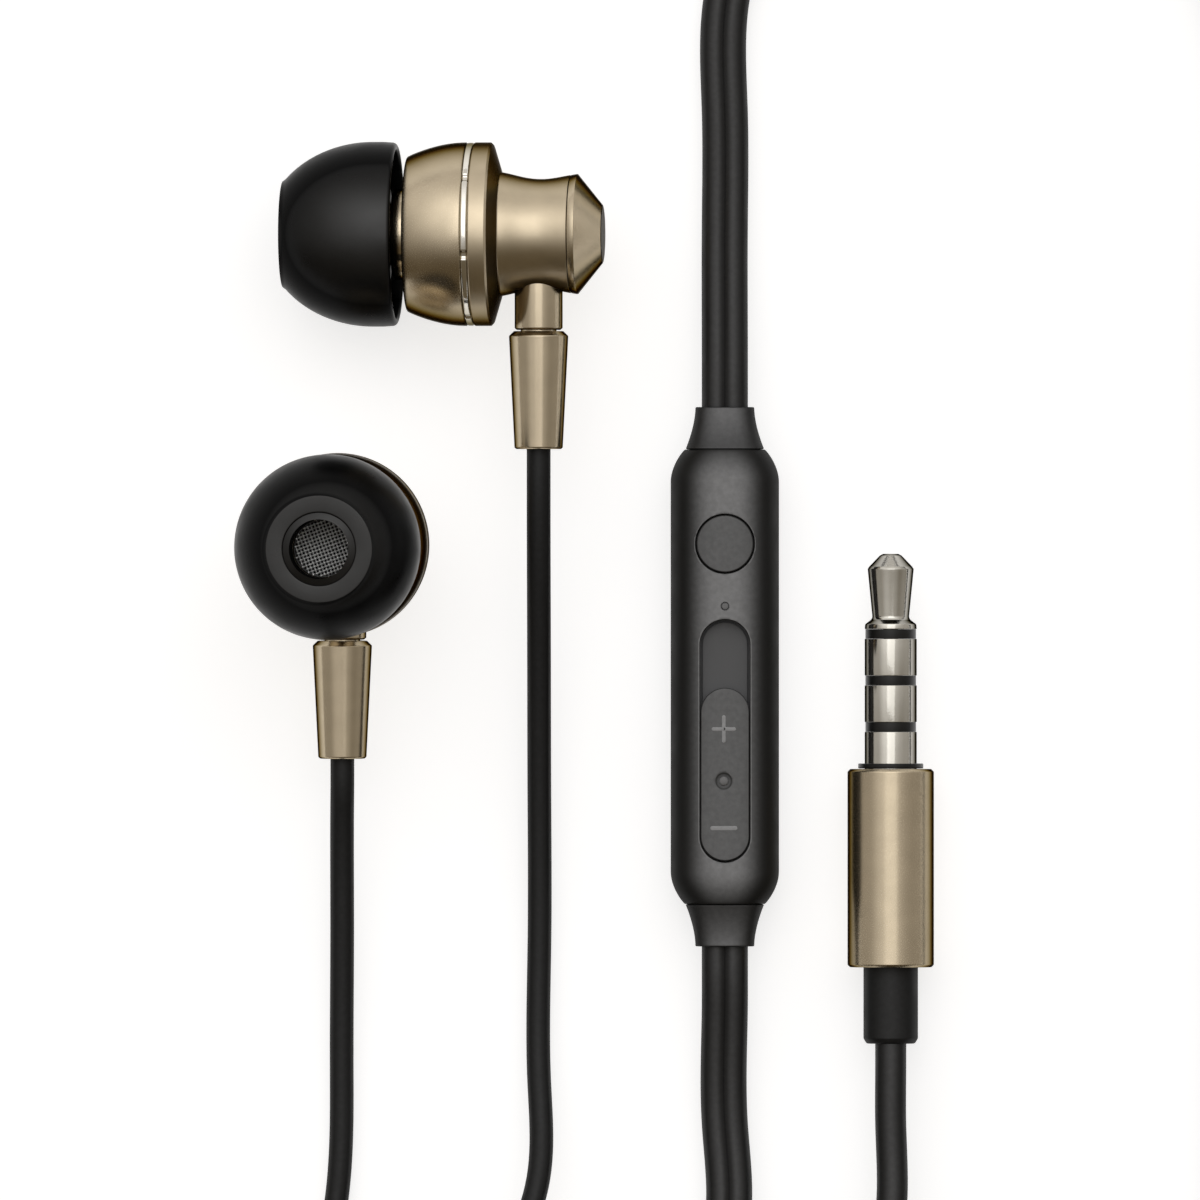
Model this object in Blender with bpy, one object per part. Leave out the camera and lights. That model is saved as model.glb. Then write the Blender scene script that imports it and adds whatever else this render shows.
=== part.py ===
"""Wired in-ear earphones with an inline remote, laid out on a flat surface.

Metres, +Z up.  The origin is the centre of the remote's flat back, which lies on the surface z = 0.
+Y runs along the remote, from its volume slider towards its call button.
"""

import math

import bmesh
import bpy
import numpy as np
from mathutils import Matrix, Vector

# ---------------------------------------------------------------- fits and facets
SEAT_GAP = 0.0003  # between a piece and what it is seated on or in
SEAM = 0.00008  # visible joint line between two housing pieces
RUNNING_GAP = 0.00013  # round a piece that slides
SIDES_LARGE = 20
SIDES_SMALL = 12

# ---------------------------------------------------------------- silicone ear tip
TIP_RADIUS = 0.00621
TIP_LENGTH = 0.00773
TIP_WIDEST_FROM_FRONT = 0.0061
TIP_FACE_RADIUS = 0.0036
TIP_BORE_RADIUS = 0.00246
TIP_STEM_RADIUS = 0.0033
TIP_STEM_LENGTH = 0.00716
TIP_WALL = 0.0005
TIP_WEB_SHARE = 0.42  # of the dome's depth, where its web joins the stem

# ---------------------------------------------------------------- sound nozzle
NOZZLE_RADIUS = 0.00205
NOZZLE_BORE_RADIUS = 0.0014
NOZZLE_LIP_RADIUS = 0.00238
NOZZLE_LIP_LENGTH = 0.001
NOZZLE_LENGTH = 0.0046  # boss to lip
NOZZLE_BOSS_RADIUS = 0.00306
NOZZLE_BOSS_LENGTH = 0.00095
MESH_RADIUS = 0.00185
MESH_THICKNESS = 0.0002
MESH_DEPTH = 0.0001  # below the lip's face

# ---------------------------------------------------------------- earpiece housing
HOUSING_RADIUS = 0.00616
HOUSING_FACE_RADIUS = 0.00518
HOUSING_WALL = 0.0007
FRONT_SHELL_LENGTH = 0.00405
FRONT_SHELL_STEP = 0.35  # share of the crown's swell that its inside follows
TRIM_RING_WIDTH = 0.0005
REAR_DRUM_LENGTH = 0.00123
SHOULDER_LENGTH = 0.00055
SHOULDER_RADIUS = 0.00415
NECK_WAIST_RADIUS = 0.00369
NECK_END_RADIUS = 0.00396
NECK_WALL = 0.0007
NECK_FRONT_LENGTH = 0.00248  # stem axis forward to the shoulder
NECK_REAR_LENGTH = 0.00215  # stem axis back to the end cap
CAP_LENGTH = 0.00211
CAP_RIM_LENGTH = 0.0004  # goes on with the neck's flare, before the cone
CAP_RIM_RADIUS = 0.00404
CAP_FACE_RADIUS = 0.00192
CAP_SPIGOT_LENGTH = 0.0006

# ---------------------------------------------------------------- driver inside the housing
DRIVER_RADIUS = 0.0048
DRIVER_DEPTH = 0.0019
DRIVER_RIM = 0.0006
MAGNET_RADIUS = 0.0024
MAGNET_LENGTH = 0.0012
DIAPHRAGM_THICKNESS = 0.0002
DIAPHRAGM_RISE = 0.0004

# ---------------------------------------------------------------- stem and its sleeve
STEM_RADIUS = 0.00161
STEM_BORE_RADIUS = 0.0009
STEM_REACH = 0.0065  # from the housing's axis
SLEEVE_TOP_RADIUS = 0.00202
SLEEVE_END_RADIUS = 0.0016
SLEEVE_LENGTH = 0.0079
SLEEVE_CHAMFER = 0.0003
SLEEVE_SOCKET_DEPTH = 0.0012
SLEEVE_SPIGOT_WALL = 0.0003

# ---------------------------------------------------------------- how the earpieces lie
RIGHT_STEM_XY = (-0.01249, 0.02966)
RIGHT_NOSE_DOWN = math.radians(4.8)
LEFT_STEM_XY = (-0.02566, 0.00892)
LEFT_LEAN_X = math.radians(4.8)
LEFT_LEAN_Y = math.radians(1.3)

# ---------------------------------------------------------------- remote
REMOTE_LENGTH = 0.0305
REMOTE_WIDTH = 0.00727
REMOTE_THICKNESS = 0.0055
REMOTE_END_WIDTH = 0.00534
REMOTE_END_DROP = 0.0005  # how far the end faces stand in from the back and the front
REMOTE_SHOULDER = 0.0022
REMOTE_BACK_ROUND = 0.0014
REMOTE_CROWN = 2.5  # power of the front's superelliptic section
REMOTE_PARTING = 0.0026
REMOTE_WALL = 0.0009
REMOTE_FRONT_WALL = 0.0015
RELIEF_LENGTH = 0.0027
RELIEF_END_WIDTH = 0.00396
RELIEF_END_HEIGHT = 0.0029
BUTTON_RADIUS = 0.00185
BUTTON_Y = 0.00892
BUTTON_PROUD = 0.00008
BUTTON_FLANGE = 0.00045
BUTTON_FLANGE_THICKNESS = 0.0004
BUTTON_TRAVEL = 0.0003
BUTTON_PLUNGER_RADIUS = 0.0006
MIC_HOLE_RADIUS = 0.0003
MIC_Y = 0.00473
POCKET_LENGTH = 0.01625
POCKET_WIDTH = 0.00335
POCKET_LOW_END_Y = -0.01242
POCKET_DEPTH = 0.0008
SLIDER_LENGTH = 0.0115
SLIDER_PROUD = 0.0001
SLIDER_STEM_FROM_END = 0.0058
SLIDER_STEM_WIDTH = 0.0009
SLIDER_STEM_LENGTH = 0.001
BOARD_LENGTH = 0.0245
BOARD_WIDTH = 0.0049
BOARD_THICKNESS = 0.0006
MICROPHONE_SIZE = (0.003, 0.0024, 0.0009)
SWITCH_SIZE = (0.003, 0.003, 0.0005)
DOME_RADIUS = 0.0009
DOME_HEIGHT = 0.0002
POT_WIDTH = 0.0028
POT_HEIGHT = 0.001
POT_GROOVE_WIDTH = 0.0012
POT_GROOVE_DEPTH = 0.0006
POT_END = 0.0008
WIPER_LENGTH = 0.002
WIPER_WIDTH = 0.0024
WIPER_THICKNESS = 0.00045

# ---------------------------------------------------------------- 3.5 mm plug
PLUG_XY = (0.01113, 0.00825)  # its tip
PLUG_RADIUS = 0.00175
PLUG_APEX_RADIUS = 0.0006
PLUG_HEAD_RADIUS = 0.00155
PLUG_HEAD_LENGTH = 0.00101
PLUG_WAIST_RADIUS = 0.00123
PLUG_WAIST_FROM_APEX = 0.00431
PLUG_TIP_LENGTH = 0.00505
PLUG_RING_LENGTH = 0.00246
PLUG_SLEEVE_LENGTH = 0.00208
PLUG_INSULATOR_LENGTH = 0.00058
PLUG_COLLAR_RADIUS = 0.00219
PLUG_COLLAR_LENGTH = 0.00033
PLUG_CORE_RADIUS = 0.0005
PLUG_RING_BORE_RADIUS = 0.0008
PLUG_JOINT = 0.00004  # between the contacts and their insulators
BARREL_RADIUS = 0.0029
BARREL_LENGTH = 0.0133
BARREL_WALL = 0.0006
BARREL_EDGE = 0.0002
PLUG_RELIEF_RADIUS = 0.00183
PLUG_RELIEF_LENGTH = 0.00513
PLUG_RELIEF_SPIGOT = 0.003

# ---------------------------------------------------------------- splitter
SPLITTER_LENGTH = 0.0118
SPLITTER_WIDTH = 0.0046
SPLITTER_HEIGHT = 0.0036
SPLITTER_END_WIDTH = 0.0039
SPLITTER_CENTRE_XY = (-0.0037, -0.0454)
SPLITTER_HEADING = math.radians(64)
LEAD_SPACING = 0.0021

# ---------------------------------------------------------------- cords
LEAD_DIAMETER = 0.0016
CORD_WIDTH = 0.0031
CORD_THICKNESS = 0.0021
TURN_GAP = 0.00046  # between neighbouring turns and layers
FLOOR_GAP = 0.00005
COIL_STEPS = 24  # points on each loop
SHORTEST_STRETCH_STEPS = 4

LEAD_COIL_XY = (-0.02075, -0.056)
RIGHT_COIL_RADIUS = 0.0108
RIGHT_COIL_START = math.radians(120)
RIGHT_COIL_END = math.radians(318)
LEFT_COIL_RADIUS = 0.0114
LEFT_COIL_START = math.radians(165)
LEFT_COIL_END = math.radians(352)
LEAD_COIL_LOOPS = 6
MAIN_COIL_XY = (0.0154, -0.06)
MAIN_COIL_RADIUS = 0.0183
MAIN_COIL_START = math.radians(0)
MAIN_COIL_END = math.radians(127)
MAIN_COIL_LOOPS = 5

# The cords' free stretches, as points chosen by hand between their fixed ends.
RIGHT_LEAD_ROUTE = [
    (-0.01249, 0.0110, 0.0068),
    (-0.01247, 0.0020, 0.0044),
    (-0.01245, -0.0080, 0.0021),
    (-0.01245, -0.0180, 0.0011),
    (-0.01247, -0.0270, 0.0016),
    (-0.01249, -0.0335, 0.0031),
    (-0.01560, -0.0400, 0.0053),
]
LEFT_LEAD_ROUTE = [
    (-0.02568, -0.0090, 0.0036),
    (-0.02569, -0.0170, 0.0019),
    (-0.02573, -0.0260, 0.0010),
    (-0.02600, -0.0345, 0.00087),
    (-0.02830, -0.0435, 0.00086),
]
RIGHT_JOINING_ROUTE = [(-0.0080, -0.0572, 0.0044)]
LEFT_JOINING_ROUTE = []
UPPER_CORD_ROUTE = [
    (0.0, 0.0220, 0.0023),
    (0.0, 0.0300, 0.0013),
    (0.0, 0.0380, 0.0011),
    (0.0002, 0.0460, 0.0011),
    (0.0028, 0.0515, 0.0012),
    (0.0085, 0.0540, 0.0013),
    (0.0168, 0.0543, 0.0015),
    (0.0252, 0.0538, 0.0016),
    (0.0310, 0.0510, 0.0016),
    (0.0336, 0.0452, 0.0016),
    (0.0338, 0.0300, 0.0016),
    (0.0339, 0.0050, 0.0016),
    (0.0338, -0.0200, 0.0016),
    (0.0337, -0.0450, 0.0016),
]
UPPER_CORD_FLAT_TO = 0.16  # share of the stretch that lies flat, before it turns on edge
UPPER_CORD_EDGE_FROM = 0.42
LOWER_CORD_ROUTE = [
    (0.0, -0.0220, 0.0023),
    (0.0, -0.0300, 0.0014),
]
PLUG_CORD_ROUTE = [
    (0.01113, -0.0300, 0.0029),
    (0.01094, -0.0372, 0.0034),
    (0.00978, -0.04035, 0.0043),
]

# ---------------------------------------------------------------- derived places, earpiece
# Distances along the earpiece's axis from the stem, positive towards the ear.
shoulder_front = NECK_FRONT_LENGTH + SHOULDER_LENGTH
ring_rear = shoulder_front + REAR_DRUM_LENGTH
ring_front = ring_rear + TRIM_RING_WIDTH
shell_face = ring_front + FRONT_SHELL_LENGTH
boss_face = shell_face + NOZZLE_BOSS_LENGTH
nozzle_face = boss_face + NOZZLE_LENGTH
cap_front = -NECK_REAR_LENGTH
cap_face = cap_front - SEAM - CAP_LENGTH
tip_rear = boss_face - (TIP_LENGTH - TIP_STEM_LENGTH) + SEAT_GAP
tip_face = tip_rear + TIP_LENGTH
tip_widest = tip_face - TIP_WIDEST_FROM_FRONT
housing_bore = HOUSING_RADIUS - HOUSING_WALL
neck_bore = NECK_WAIST_RADIUS - NECK_WALL
driver_front = ring_front + DRIVER_DEPTH / 2
sleeve_top = STEM_REACH
sleeve_end = sleeve_top + SLEEVE_LENGTH

# ---------------------------------------------------------------- derived places, remote
half_length = REMOTE_LENGTH / 2
pocket_floor = REMOTE_THICKNESS - POCKET_DEPTH
ceiling = REMOTE_THICKNESS - REMOTE_FRONT_WALL
board_low = REMOTE_WALL + SEAT_GAP
board_top = board_low + BOARD_THICKNESS
part_low = board_top + SEAT_GAP / 2
cord_height = REMOTE_PARTING
slider_width = POCKET_WIDTH - 2 * RUNNING_GAP
slider_low_y = POCKET_LOW_END_Y + RUNNING_GAP
slider_travel = POCKET_LENGTH - SLIDER_LENGTH - 2 * RUNNING_GAP
slider_stem_y = slider_low_y + SLIDER_STEM_FROM_END
slit_low_y = slider_stem_y - SLIDER_STEM_LENGTH / 2 - SEAT_GAP / 2
slit_high_y = slider_stem_y + slider_travel + SLIDER_STEM_LENGTH / 2 + SEAT_GAP / 2
pot_top = part_low + POT_HEIGHT
wiper_low = pot_top + RUNNING_GAP
wiper_top = wiper_low + WIPER_THICKNESS


# ================================================================ helpers
def clear_scene():
    for thing in list(bpy.data.objects):
        bpy.data.objects.remove(thing, do_unlink=True)


def material(name, color, roughness, metallic=0.0):
    made = bpy.data.materials.new(name)
    made.use_nodes = True
    shader = made.node_tree.nodes["Principled BSDF"]
    shader.inputs["Base Color"].default_value = (*color, 1.0)
    shader.inputs["Roughness"].default_value = roughness
    shader.inputs["Metallic"].default_value = metallic
    made.diffuse_color = (*color, 1.0)
    return made


def frame_at(name, matrix):
    """An empty that carries a group of pieces."""
    empty = bpy.data.objects.new(name, None)
    empty.empty_display_size = 0.004
    bpy.context.collection.objects.link(empty)
    empty.matrix_world = matrix
    return empty


def add_object(name, mesh, finish, parent=None, location=(0, 0, 0)):
    made = bpy.data.objects.new(name, mesh)
    bpy.context.collection.objects.link(made)
    made.location = location
    if parent:
        made.parent = parent
    if finish:
        mesh.materials.append(finish)
    return made


def mesh_from(name, bm, smooth=True):
    bmesh.ops.recalc_face_normals(bm, faces=bm.faces)
    mesh = bpy.data.meshes.new(name)
    bm.to_mesh(mesh)
    bm.free()
    if smooth:
        mesh.shade_smooth()
        mesh.set_sharp_from_angle(angle=math.radians(32))
    return mesh


def turned(name, profile, finish, parent=None, sides=SIDES_LARGE, location=(0, 0, 0)):
    """A profile of (radius, height) points spun about Z; it closes on itself or on the axis."""
    bm = bmesh.new()
    points = [bm.verts.new((radius, 0, height)) for radius, height in profile]
    edges = [bm.edges.new(pair) for pair in zip(points, points[1:])]
    if profile[0][0] > 0 or profile[-1][0] > 0:
        edges.append(bm.edges.new((points[-1], points[0])))
    bmesh.ops.spin(
        bm, geom=points + edges, axis=(0, 0, 1), cent=(0, 0, 0), angle=2 * math.pi, steps=sides
    )
    bmesh.ops.remove_doubles(bm, verts=bm.verts, dist=1e-7)
    return add_object(name, mesh_from(name, bm), finish, parent, location)


def lofted(name, sections, finish, parent=None, location=(0, 0, 0)):
    """A closed skin through sections that each have the same number of points."""
    bm = bmesh.new()
    rings = [[bm.verts.new(point) for point in section] for section in sections]
    for low, high in zip(rings, rings[1:]):
        for i in range(len(low)):
            j = (i + 1) % len(low)
            bm.faces.new((low[i], low[j], high[j], high[i]))
    bm.faces.new(rings[0])
    bm.faces.new(rings[-1])
    return add_object(name, mesh_from(name, bm), finish, parent, location)


def block(name, size, centre, finish, parent=None, edge=0.0):
    bm = bmesh.new()
    bmesh.ops.create_cube(bm, size=1.0)
    bmesh.ops.scale(bm, vec=size, verts=bm.verts)
    if edge:
        bmesh.ops.bevel(bm, geom=bm.edges[:], offset=edge, segments=1, affect="EDGES")
    return add_object(name, mesh_from(name, bm, smooth=False), finish, parent, centre)


def pill(name, length, width, low, high, centre_y, finish, round_steps=6):
    """An upright solid whose outline is a slot along Y."""
    radius = width / 2
    bm = bmesh.new()
    outline = []
    for side in (1, -1):
        for step in range(round_steps + 1):
            angle = math.pi * step / round_steps
            outline.append((
                side * radius * math.cos(angle),
                side * (length / 2 - radius + radius * math.sin(angle)),
                low,
            ))
    face = bm.faces.new([bm.verts.new(point) for point in outline])
    top = bmesh.ops.extrude_face_region(bm, geom=[face])["geom"]
    raised = [item for item in top if isinstance(item, bmesh.types.BMVert)]
    bmesh.ops.translate(bm, vec=(0, 0, high - low), verts=raised)
    return add_object(name, mesh_from(name, bm), finish, None, (0, centre_y, 0))


def cut(target, *cutters):
    for cutter in cutters:
        cutter.hide_render = True
        cutter.display_type = "WIRE"
        made = target.modifiers.new(cutter.name, "BOOLEAN")
        made.operation = "DIFFERENCE"
        made.object = cutter


def join_solids(target, *others):
    for other in others:
        other.hide_render = True
        other.display_type = "WIRE"
        made = target.modifiers.new(other.name, "BOOLEAN")
        made.operation = "UNION"
        made.object = other


# ================================================================ earpieces
def ear_tip(side, axis):
    """A silicone dome on a stem, hollow under its skirt, with a groove for the nozzle's lip."""
    dome_radius = TIP_RADIUS
    front_run = tip_face - tip_widest
    dome = []
    start = math.acos(TIP_FACE_RADIUS / dome_radius)
    reach = front_run / math.sin(start)
    for step in range(6):
        angle = start * (1 - step / 5)
        dome.append((dome_radius * math.cos(angle), tip_widest + reach * math.sin(angle) * 0.98))
    groove_front = nozzle_face + SEAT_GAP
    groove_rear = nozzle_face - NOZZLE_LIP_LENGTH - SEAT_GAP
    groove_radius = NOZZLE_LIP_RADIUS + SEAT_GAP
    stem_end = tip_face - TIP_STEM_LENGTH
    web = tip_face - (tip_face - tip_widest) * TIP_WEB_SHARE
    profile = [
        (TIP_BORE_RADIUS + 0.0002, tip_face),
        (TIP_FACE_RADIUS - 0.0003, tip_face),
        *dome,
        (dome_radius - 0.0003, tip_rear + 0.0003),
        (dome_radius - 0.0003 - TIP_WALL / 2, tip_rear),
        (dome_radius - 0.0003 - TIP_WALL, tip_rear + 0.0003),
        (dome_radius - TIP_WALL * 1.2, tip_widest),
        (dome_radius * 0.8 - TIP_WALL, web - 0.0008),
        (TIP_STEM_RADIUS + 0.0004, web),
        (TIP_STEM_RADIUS, web - 0.0004),
        (TIP_STEM_RADIUS, stem_end),
        (NOZZLE_RADIUS + SEAT_GAP, stem_end),
        (NOZZLE_RADIUS + SEAT_GAP, groove_rear),
        (groove_radius, groove_rear),
        (groove_radius, groove_front),
        (TIP_BORE_RADIUS, groove_front + 0.0002),
        (TIP_BORE_RADIUS, tip_face - 0.0002),
    ]
    return turned(side + "_ear_tip", profile, silicone, axis)


def front_shell(side, axis):
    """The nozzle, its boss and the front half of the housing, open at the back."""
    inner_face = shell_face - HOUSING_WALL
    rear = ring_front + SEAM
    seat = MESH_RADIUS + SEAT_GAP / 2
    mesh_seat = nozzle_face - MESH_DEPTH - MESH_THICKNESS - SEAT_GAP / 2
    swell = HOUSING_RADIUS - HOUSING_FACE_RADIUS
    length = shell_face - rear
    crown = [
        (HOUSING_FACE_RADIUS + swell * rise, shell_face - length * run)
        for run, rise in ((0.0, 0.0), (0.16, 0.3), (0.36, 0.56), (0.65, 0.85), (1.0, 1.0))
    ]
    profile = [
        (seat, nozzle_face),
        (NOZZLE_LIP_RADIUS, nozzle_face),
        (NOZZLE_LIP_RADIUS, nozzle_face - NOZZLE_LIP_LENGTH),
        (NOZZLE_RADIUS, nozzle_face - NOZZLE_LIP_LENGTH),
        (NOZZLE_RADIUS, boss_face),
        (NOZZLE_BOSS_RADIUS, boss_face),
        (NOZZLE_BOSS_RADIUS, shell_face),
        *crown,
        (housing_bore, rear),
        (housing_bore - swell * FRONT_SHELL_STEP, shell_face - length / 2),
        (DRIVER_RADIUS - DRIVER_RIM, inner_face),
        (NOZZLE_BORE_RADIUS, inner_face),
        (NOZZLE_BORE_RADIUS, mesh_seat),
        (seat, mesh_seat),
    ]
    return turned(side + "_front_shell", profile, gold, axis)


def nozzle_mesh(side, axis):
    top = nozzle_face - MESH_DEPTH
    profile = [
        (0, top),
        (MESH_RADIUS, top),
        (MESH_RADIUS, top - MESH_THICKNESS),
        (0, top - MESH_THICKNESS),
    ]
    return turned(side + "_nozzle_mesh", profile, steel_mesh, axis, SIDES_SMALL)


def trim_ring(side, axis):
    profile = [
        (housing_bore, ring_front),
        (HOUSING_RADIUS, ring_front),
        (HOUSING_RADIUS, ring_rear + SEAM),
        (housing_bore, ring_rear + SEAM),
    ]
    return turned(side + "_trim_ring", profile, bright, axis)


def rear_shell(side, axis):
    """The drum, shoulder and waisted neck, bored for the leads and drilled for the stem."""
    drum_floor = shoulder_front - SHOULDER_LENGTH
    neck = [
        (SHOULDER_RADIUS, NECK_FRONT_LENGTH),
        (NECK_WAIST_RADIUS + 0.00018, NECK_FRONT_LENGTH * 0.5),
        (NECK_WAIST_RADIUS, 0),
        (NECK_WAIST_RADIUS + 0.0001, -NECK_REAR_LENGTH * 0.55),
        (NECK_END_RADIUS, cap_front),
    ]
    profile = [
        (housing_bore, ring_rear),
        (HOUSING_RADIUS, ring_rear),
        (HOUSING_RADIUS, shoulder_front),
        *neck,
        (neck_bore, cap_front),
        (neck_bore, drum_floor),
        (housing_bore, shoulder_front + 0.0001),
    ]
    made = turned(side + "_rear_shell", profile, gold, axis)
    drill = turned(
        side + "_stem_drill",
        [
            (0, 0),
            (STEM_RADIUS + SEAT_GAP / 2, 0),
            (STEM_RADIUS + SEAT_GAP / 2, STEM_REACH),
            (0, STEM_REACH),
        ],
        None,
        axis,
        SIDES_SMALL,
    )
    drill.rotation_euler = (math.radians(90), 0, 0)
    cut(made, drill)
    return made


def end_cap(side, axis):
    """A blunt cone that closes the neck, with a spigot inside the bore."""
    spigot = neck_bore - SEAT_GAP
    front = cap_front - SEAM
    profile = [
        (0, cap_front + CAP_SPIGOT_LENGTH),
        (spigot, cap_front + CAP_SPIGOT_LENGTH),
        (spigot, front),
        (NECK_END_RADIUS, front),
        (CAP_RIM_RADIUS, front - CAP_RIM_LENGTH),
        (CAP_FACE_RADIUS, cap_face),
        (0, cap_face),
    ]
    return turned(side + "_end_cap", profile, gold, axis)


def stem(side, axis):
    """The short tube that carries the cord out of the neck."""
    inner = STEM_BORE_RADIUS
    spigot = inner + SLEEVE_SPIGOT_WALL
    root = math.sqrt(neck_bore**2 - STEM_RADIUS**2)
    profile = [
        (inner, root),
        (STEM_RADIUS, root),
        (STEM_RADIUS, STEM_REACH - SEAM),
        (spigot, STEM_REACH - SEAM),
        (spigot, STEM_REACH + SLEEVE_SOCKET_DEPTH - SEAT_GAP),
        (inner, STEM_REACH + SLEEVE_SOCKET_DEPTH - SEAT_GAP),
    ]
    made = turned(side + "_stem_tube", profile, gold, axis, SIDES_SMALL)
    made.rotation_euler = (math.radians(90), 0, 0)
    return made


def stem_sleeve(side, axis):
    """The tapered sleeve over the stem's spigot, bored for the cord."""
    socket = STEM_BORE_RADIUS + SLEEVE_SPIGOT_WALL + SEAT_GAP / 2
    profile = [
        (socket, sleeve_top),
        (SLEEVE_TOP_RADIUS - SLEEVE_CHAMFER, sleeve_top),
        (SLEEVE_TOP_RADIUS, sleeve_top + SLEEVE_CHAMFER),
        (SLEEVE_END_RADIUS, sleeve_end),
        (STEM_BORE_RADIUS, sleeve_end),
        (STEM_BORE_RADIUS, sleeve_top + SLEEVE_SOCKET_DEPTH),
        (socket, sleeve_top + SLEEVE_SOCKET_DEPTH),
    ]
    made = turned(side + "_stem_sleeve", profile, gold, axis, SIDES_SMALL)
    made.rotation_euler = (math.radians(90), 0, 0)
    return made


def driver(side, axis):
    """Basket, magnet and diaphragm of the moving-coil driver."""
    rear = driver_front - DRIVER_DEPTH
    magnet_seat = MAGNET_RADIUS + SEAT_GAP
    basket = [
        (DRIVER_RADIUS - DRIVER_RIM, driver_front),
        (DRIVER_RADIUS, driver_front),
        (DRIVER_RADIUS, driver_front - 0.0006),
        (DRIVER_RADIUS - 0.0008, rear),
        (magnet_seat, rear),
        (magnet_seat, rear + 0.0004),
        (DRIVER_RADIUS - DRIVER_RIM, driver_front - 0.0008),
    ]
    turned(side + "_driver_basket", basket, steel, axis, SIDES_SMALL)
    magnet_top = driver_front - 0.0006
    magnet = [
        (0, magnet_top),
        (MAGNET_RADIUS, magnet_top),
        (MAGNET_RADIUS, magnet_top - MAGNET_LENGTH),
        (0, magnet_top - MAGNET_LENGTH),
    ]
    turned(side + "_driver_magnet", magnet, steel, axis, SIDES_SMALL)
    edge = DRIVER_RADIUS - DRIVER_RIM - SEAT_GAP / 2
    low = driver_front - 0.0003
    diaphragm = [
        (0, low + DIAPHRAGM_RISE),
        (edge / 2, low + DIAPHRAGM_THICKNESS),
        (edge, low + DIAPHRAGM_THICKNESS),
        (edge, low),
        (edge / 2, low),
        (0, low + DIAPHRAGM_RISE - DIAPHRAGM_THICKNESS),
    ]
    turned(side + "_driver_diaphragm", diaphragm, film, axis, SIDES_SMALL)


def earpiece(side, matrix):
    axis = frame_at(side + "_earpiece_axis", matrix)
    ear_tip(side, axis)
    front_shell(side, axis)
    nozzle_mesh(side, axis)
    trim_ring(side, axis)
    rear_shell(side, axis)
    end_cap(side, axis)
    stem(side, axis)
    stem_sleeve(side, axis)
    driver(side, axis)


def right_earpiece_matrix():
    """On its side, nose towards -X, resting on the widest part of its ear tip."""
    height = TIP_RADIUS * math.cos(RIGHT_NOSE_DOWN) + tip_widest * math.sin(RIGHT_NOSE_DOWN)
    turn = Matrix.Rotation(-math.pi / 2 - RIGHT_NOSE_DOWN, 4, "Y")
    return Matrix.Translation((*RIGHT_STEM_XY, height)) @ turn


def left_earpiece_matrix():
    """Standing on its end cap, nozzle up."""
    turn = Matrix.Rotation(LEFT_LEAN_Y, 4, "X") @ Matrix.Rotation(-LEFT_LEAN_X, 4, "Y")
    upward = turn @ Vector((0, 0, 1))
    rim = CAP_FACE_RADIUS * math.sqrt(1 - upward.z**2)
    height = -cap_face * upward.z + rim + FLOOR_GAP
    return Matrix.Translation((*LEFT_STEM_XY, height)) @ turn


# ================================================================ remote
def shoulder_share(y):
    """0 on the body's end faces, 1 where it has its full section."""
    run = min((half_length - abs(y)) / REMOTE_SHOULDER, 1.0)
    return max(math.sin(run * math.pi / 2), 0.0) ** 0.8


def body_stations():
    runs = [REMOTE_SHOULDER * share for share in (0.0, 0.28, 0.6, 1.0)]
    ends = [half_length - run for run in runs]
    return [-y for y in ends] + list(reversed(ends))


def body_half_width(y):
    return (REMOTE_END_WIDTH + (REMOTE_WIDTH - REMOTE_END_WIDTH) * shoulder_share(y)) / 2


def back_section(y):
    """The lower half of the body's section: flat underneath, with rounded edges."""
    width = body_half_width(y)
    low = REMOTE_END_DROP * (1 - shoulder_share(y))
    steps = 4
    points = [(-width, y, REMOTE_PARTING - SEAM / 2)]
    for step in range(steps + 1):
        angle = math.pi / 2 * step / steps
        x = -width + REMOTE_BACK_ROUND * (1 - math.cos(angle))
        points.append((x, y, low + REMOTE_BACK_ROUND * (1 - math.sin(angle))))
    for point in list(reversed(points)):
        points.append((-point[0], y, point[2]))
    return points


def crown_height(x, y, base):
    """Height of the front's outer surface, which springs from the base at the body's sides."""
    top = REMOTE_THICKNESS - REMOTE_END_DROP * (1 - shoulder_share(y))
    across = min(abs(x) / body_half_width(y), 1.0)
    return base + (top - base) * (1 - across**REMOTE_CROWN) ** (1 / REMOTE_CROWN)


def front_section(y):
    """The upper half of the body's section, one crown from side to side."""
    base = REMOTE_PARTING + SEAM / 2
    steps = 16
    points = []
    for step in range(steps + 1):
        c = math.cos(math.pi * step / steps)
        x = -body_half_width(y) * math.copysign(abs(c) ** (2 / REMOTE_CROWN), c)
        points.append((x, y, crown_height(x, y, base)))
    return points


def crown_trimmer(name, proud, parent):
    """Everything over the front's crown, so that a key's top follows it at that height."""
    reach = BUTTON_RADIUS + SEAT_GAP
    base = REMOTE_PARTING + SEAM / 2
    steps = 8
    sections = []
    for y in (-half_length + REMOTE_SHOULDER, half_length - REMOTE_SHOULDER):
        points = []
        for step in range(steps + 1):
            x = reach * (2 * step / steps - 1)
            points.append((x, y - parent.location.y, crown_height(x, y, base) + proud))
        high = REMOTE_THICKNESS + proud + 2 * SEAT_GAP
        points.append((reach, y - parent.location.y, high))
        points.append((-reach, y - parent.location.y, high))
        sections.append(points)
    return lofted(name, sections, None, parent)


def cavity(name, low, high):
    width = REMOTE_WIDTH - 2 * REMOTE_WALL
    length = REMOTE_LENGTH - 2 * (REMOTE_WALL + REMOTE_SHOULDER / 2)
    return block(name, (width, length, high - low), (0, 0, (low + high) / 2), None)


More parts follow.
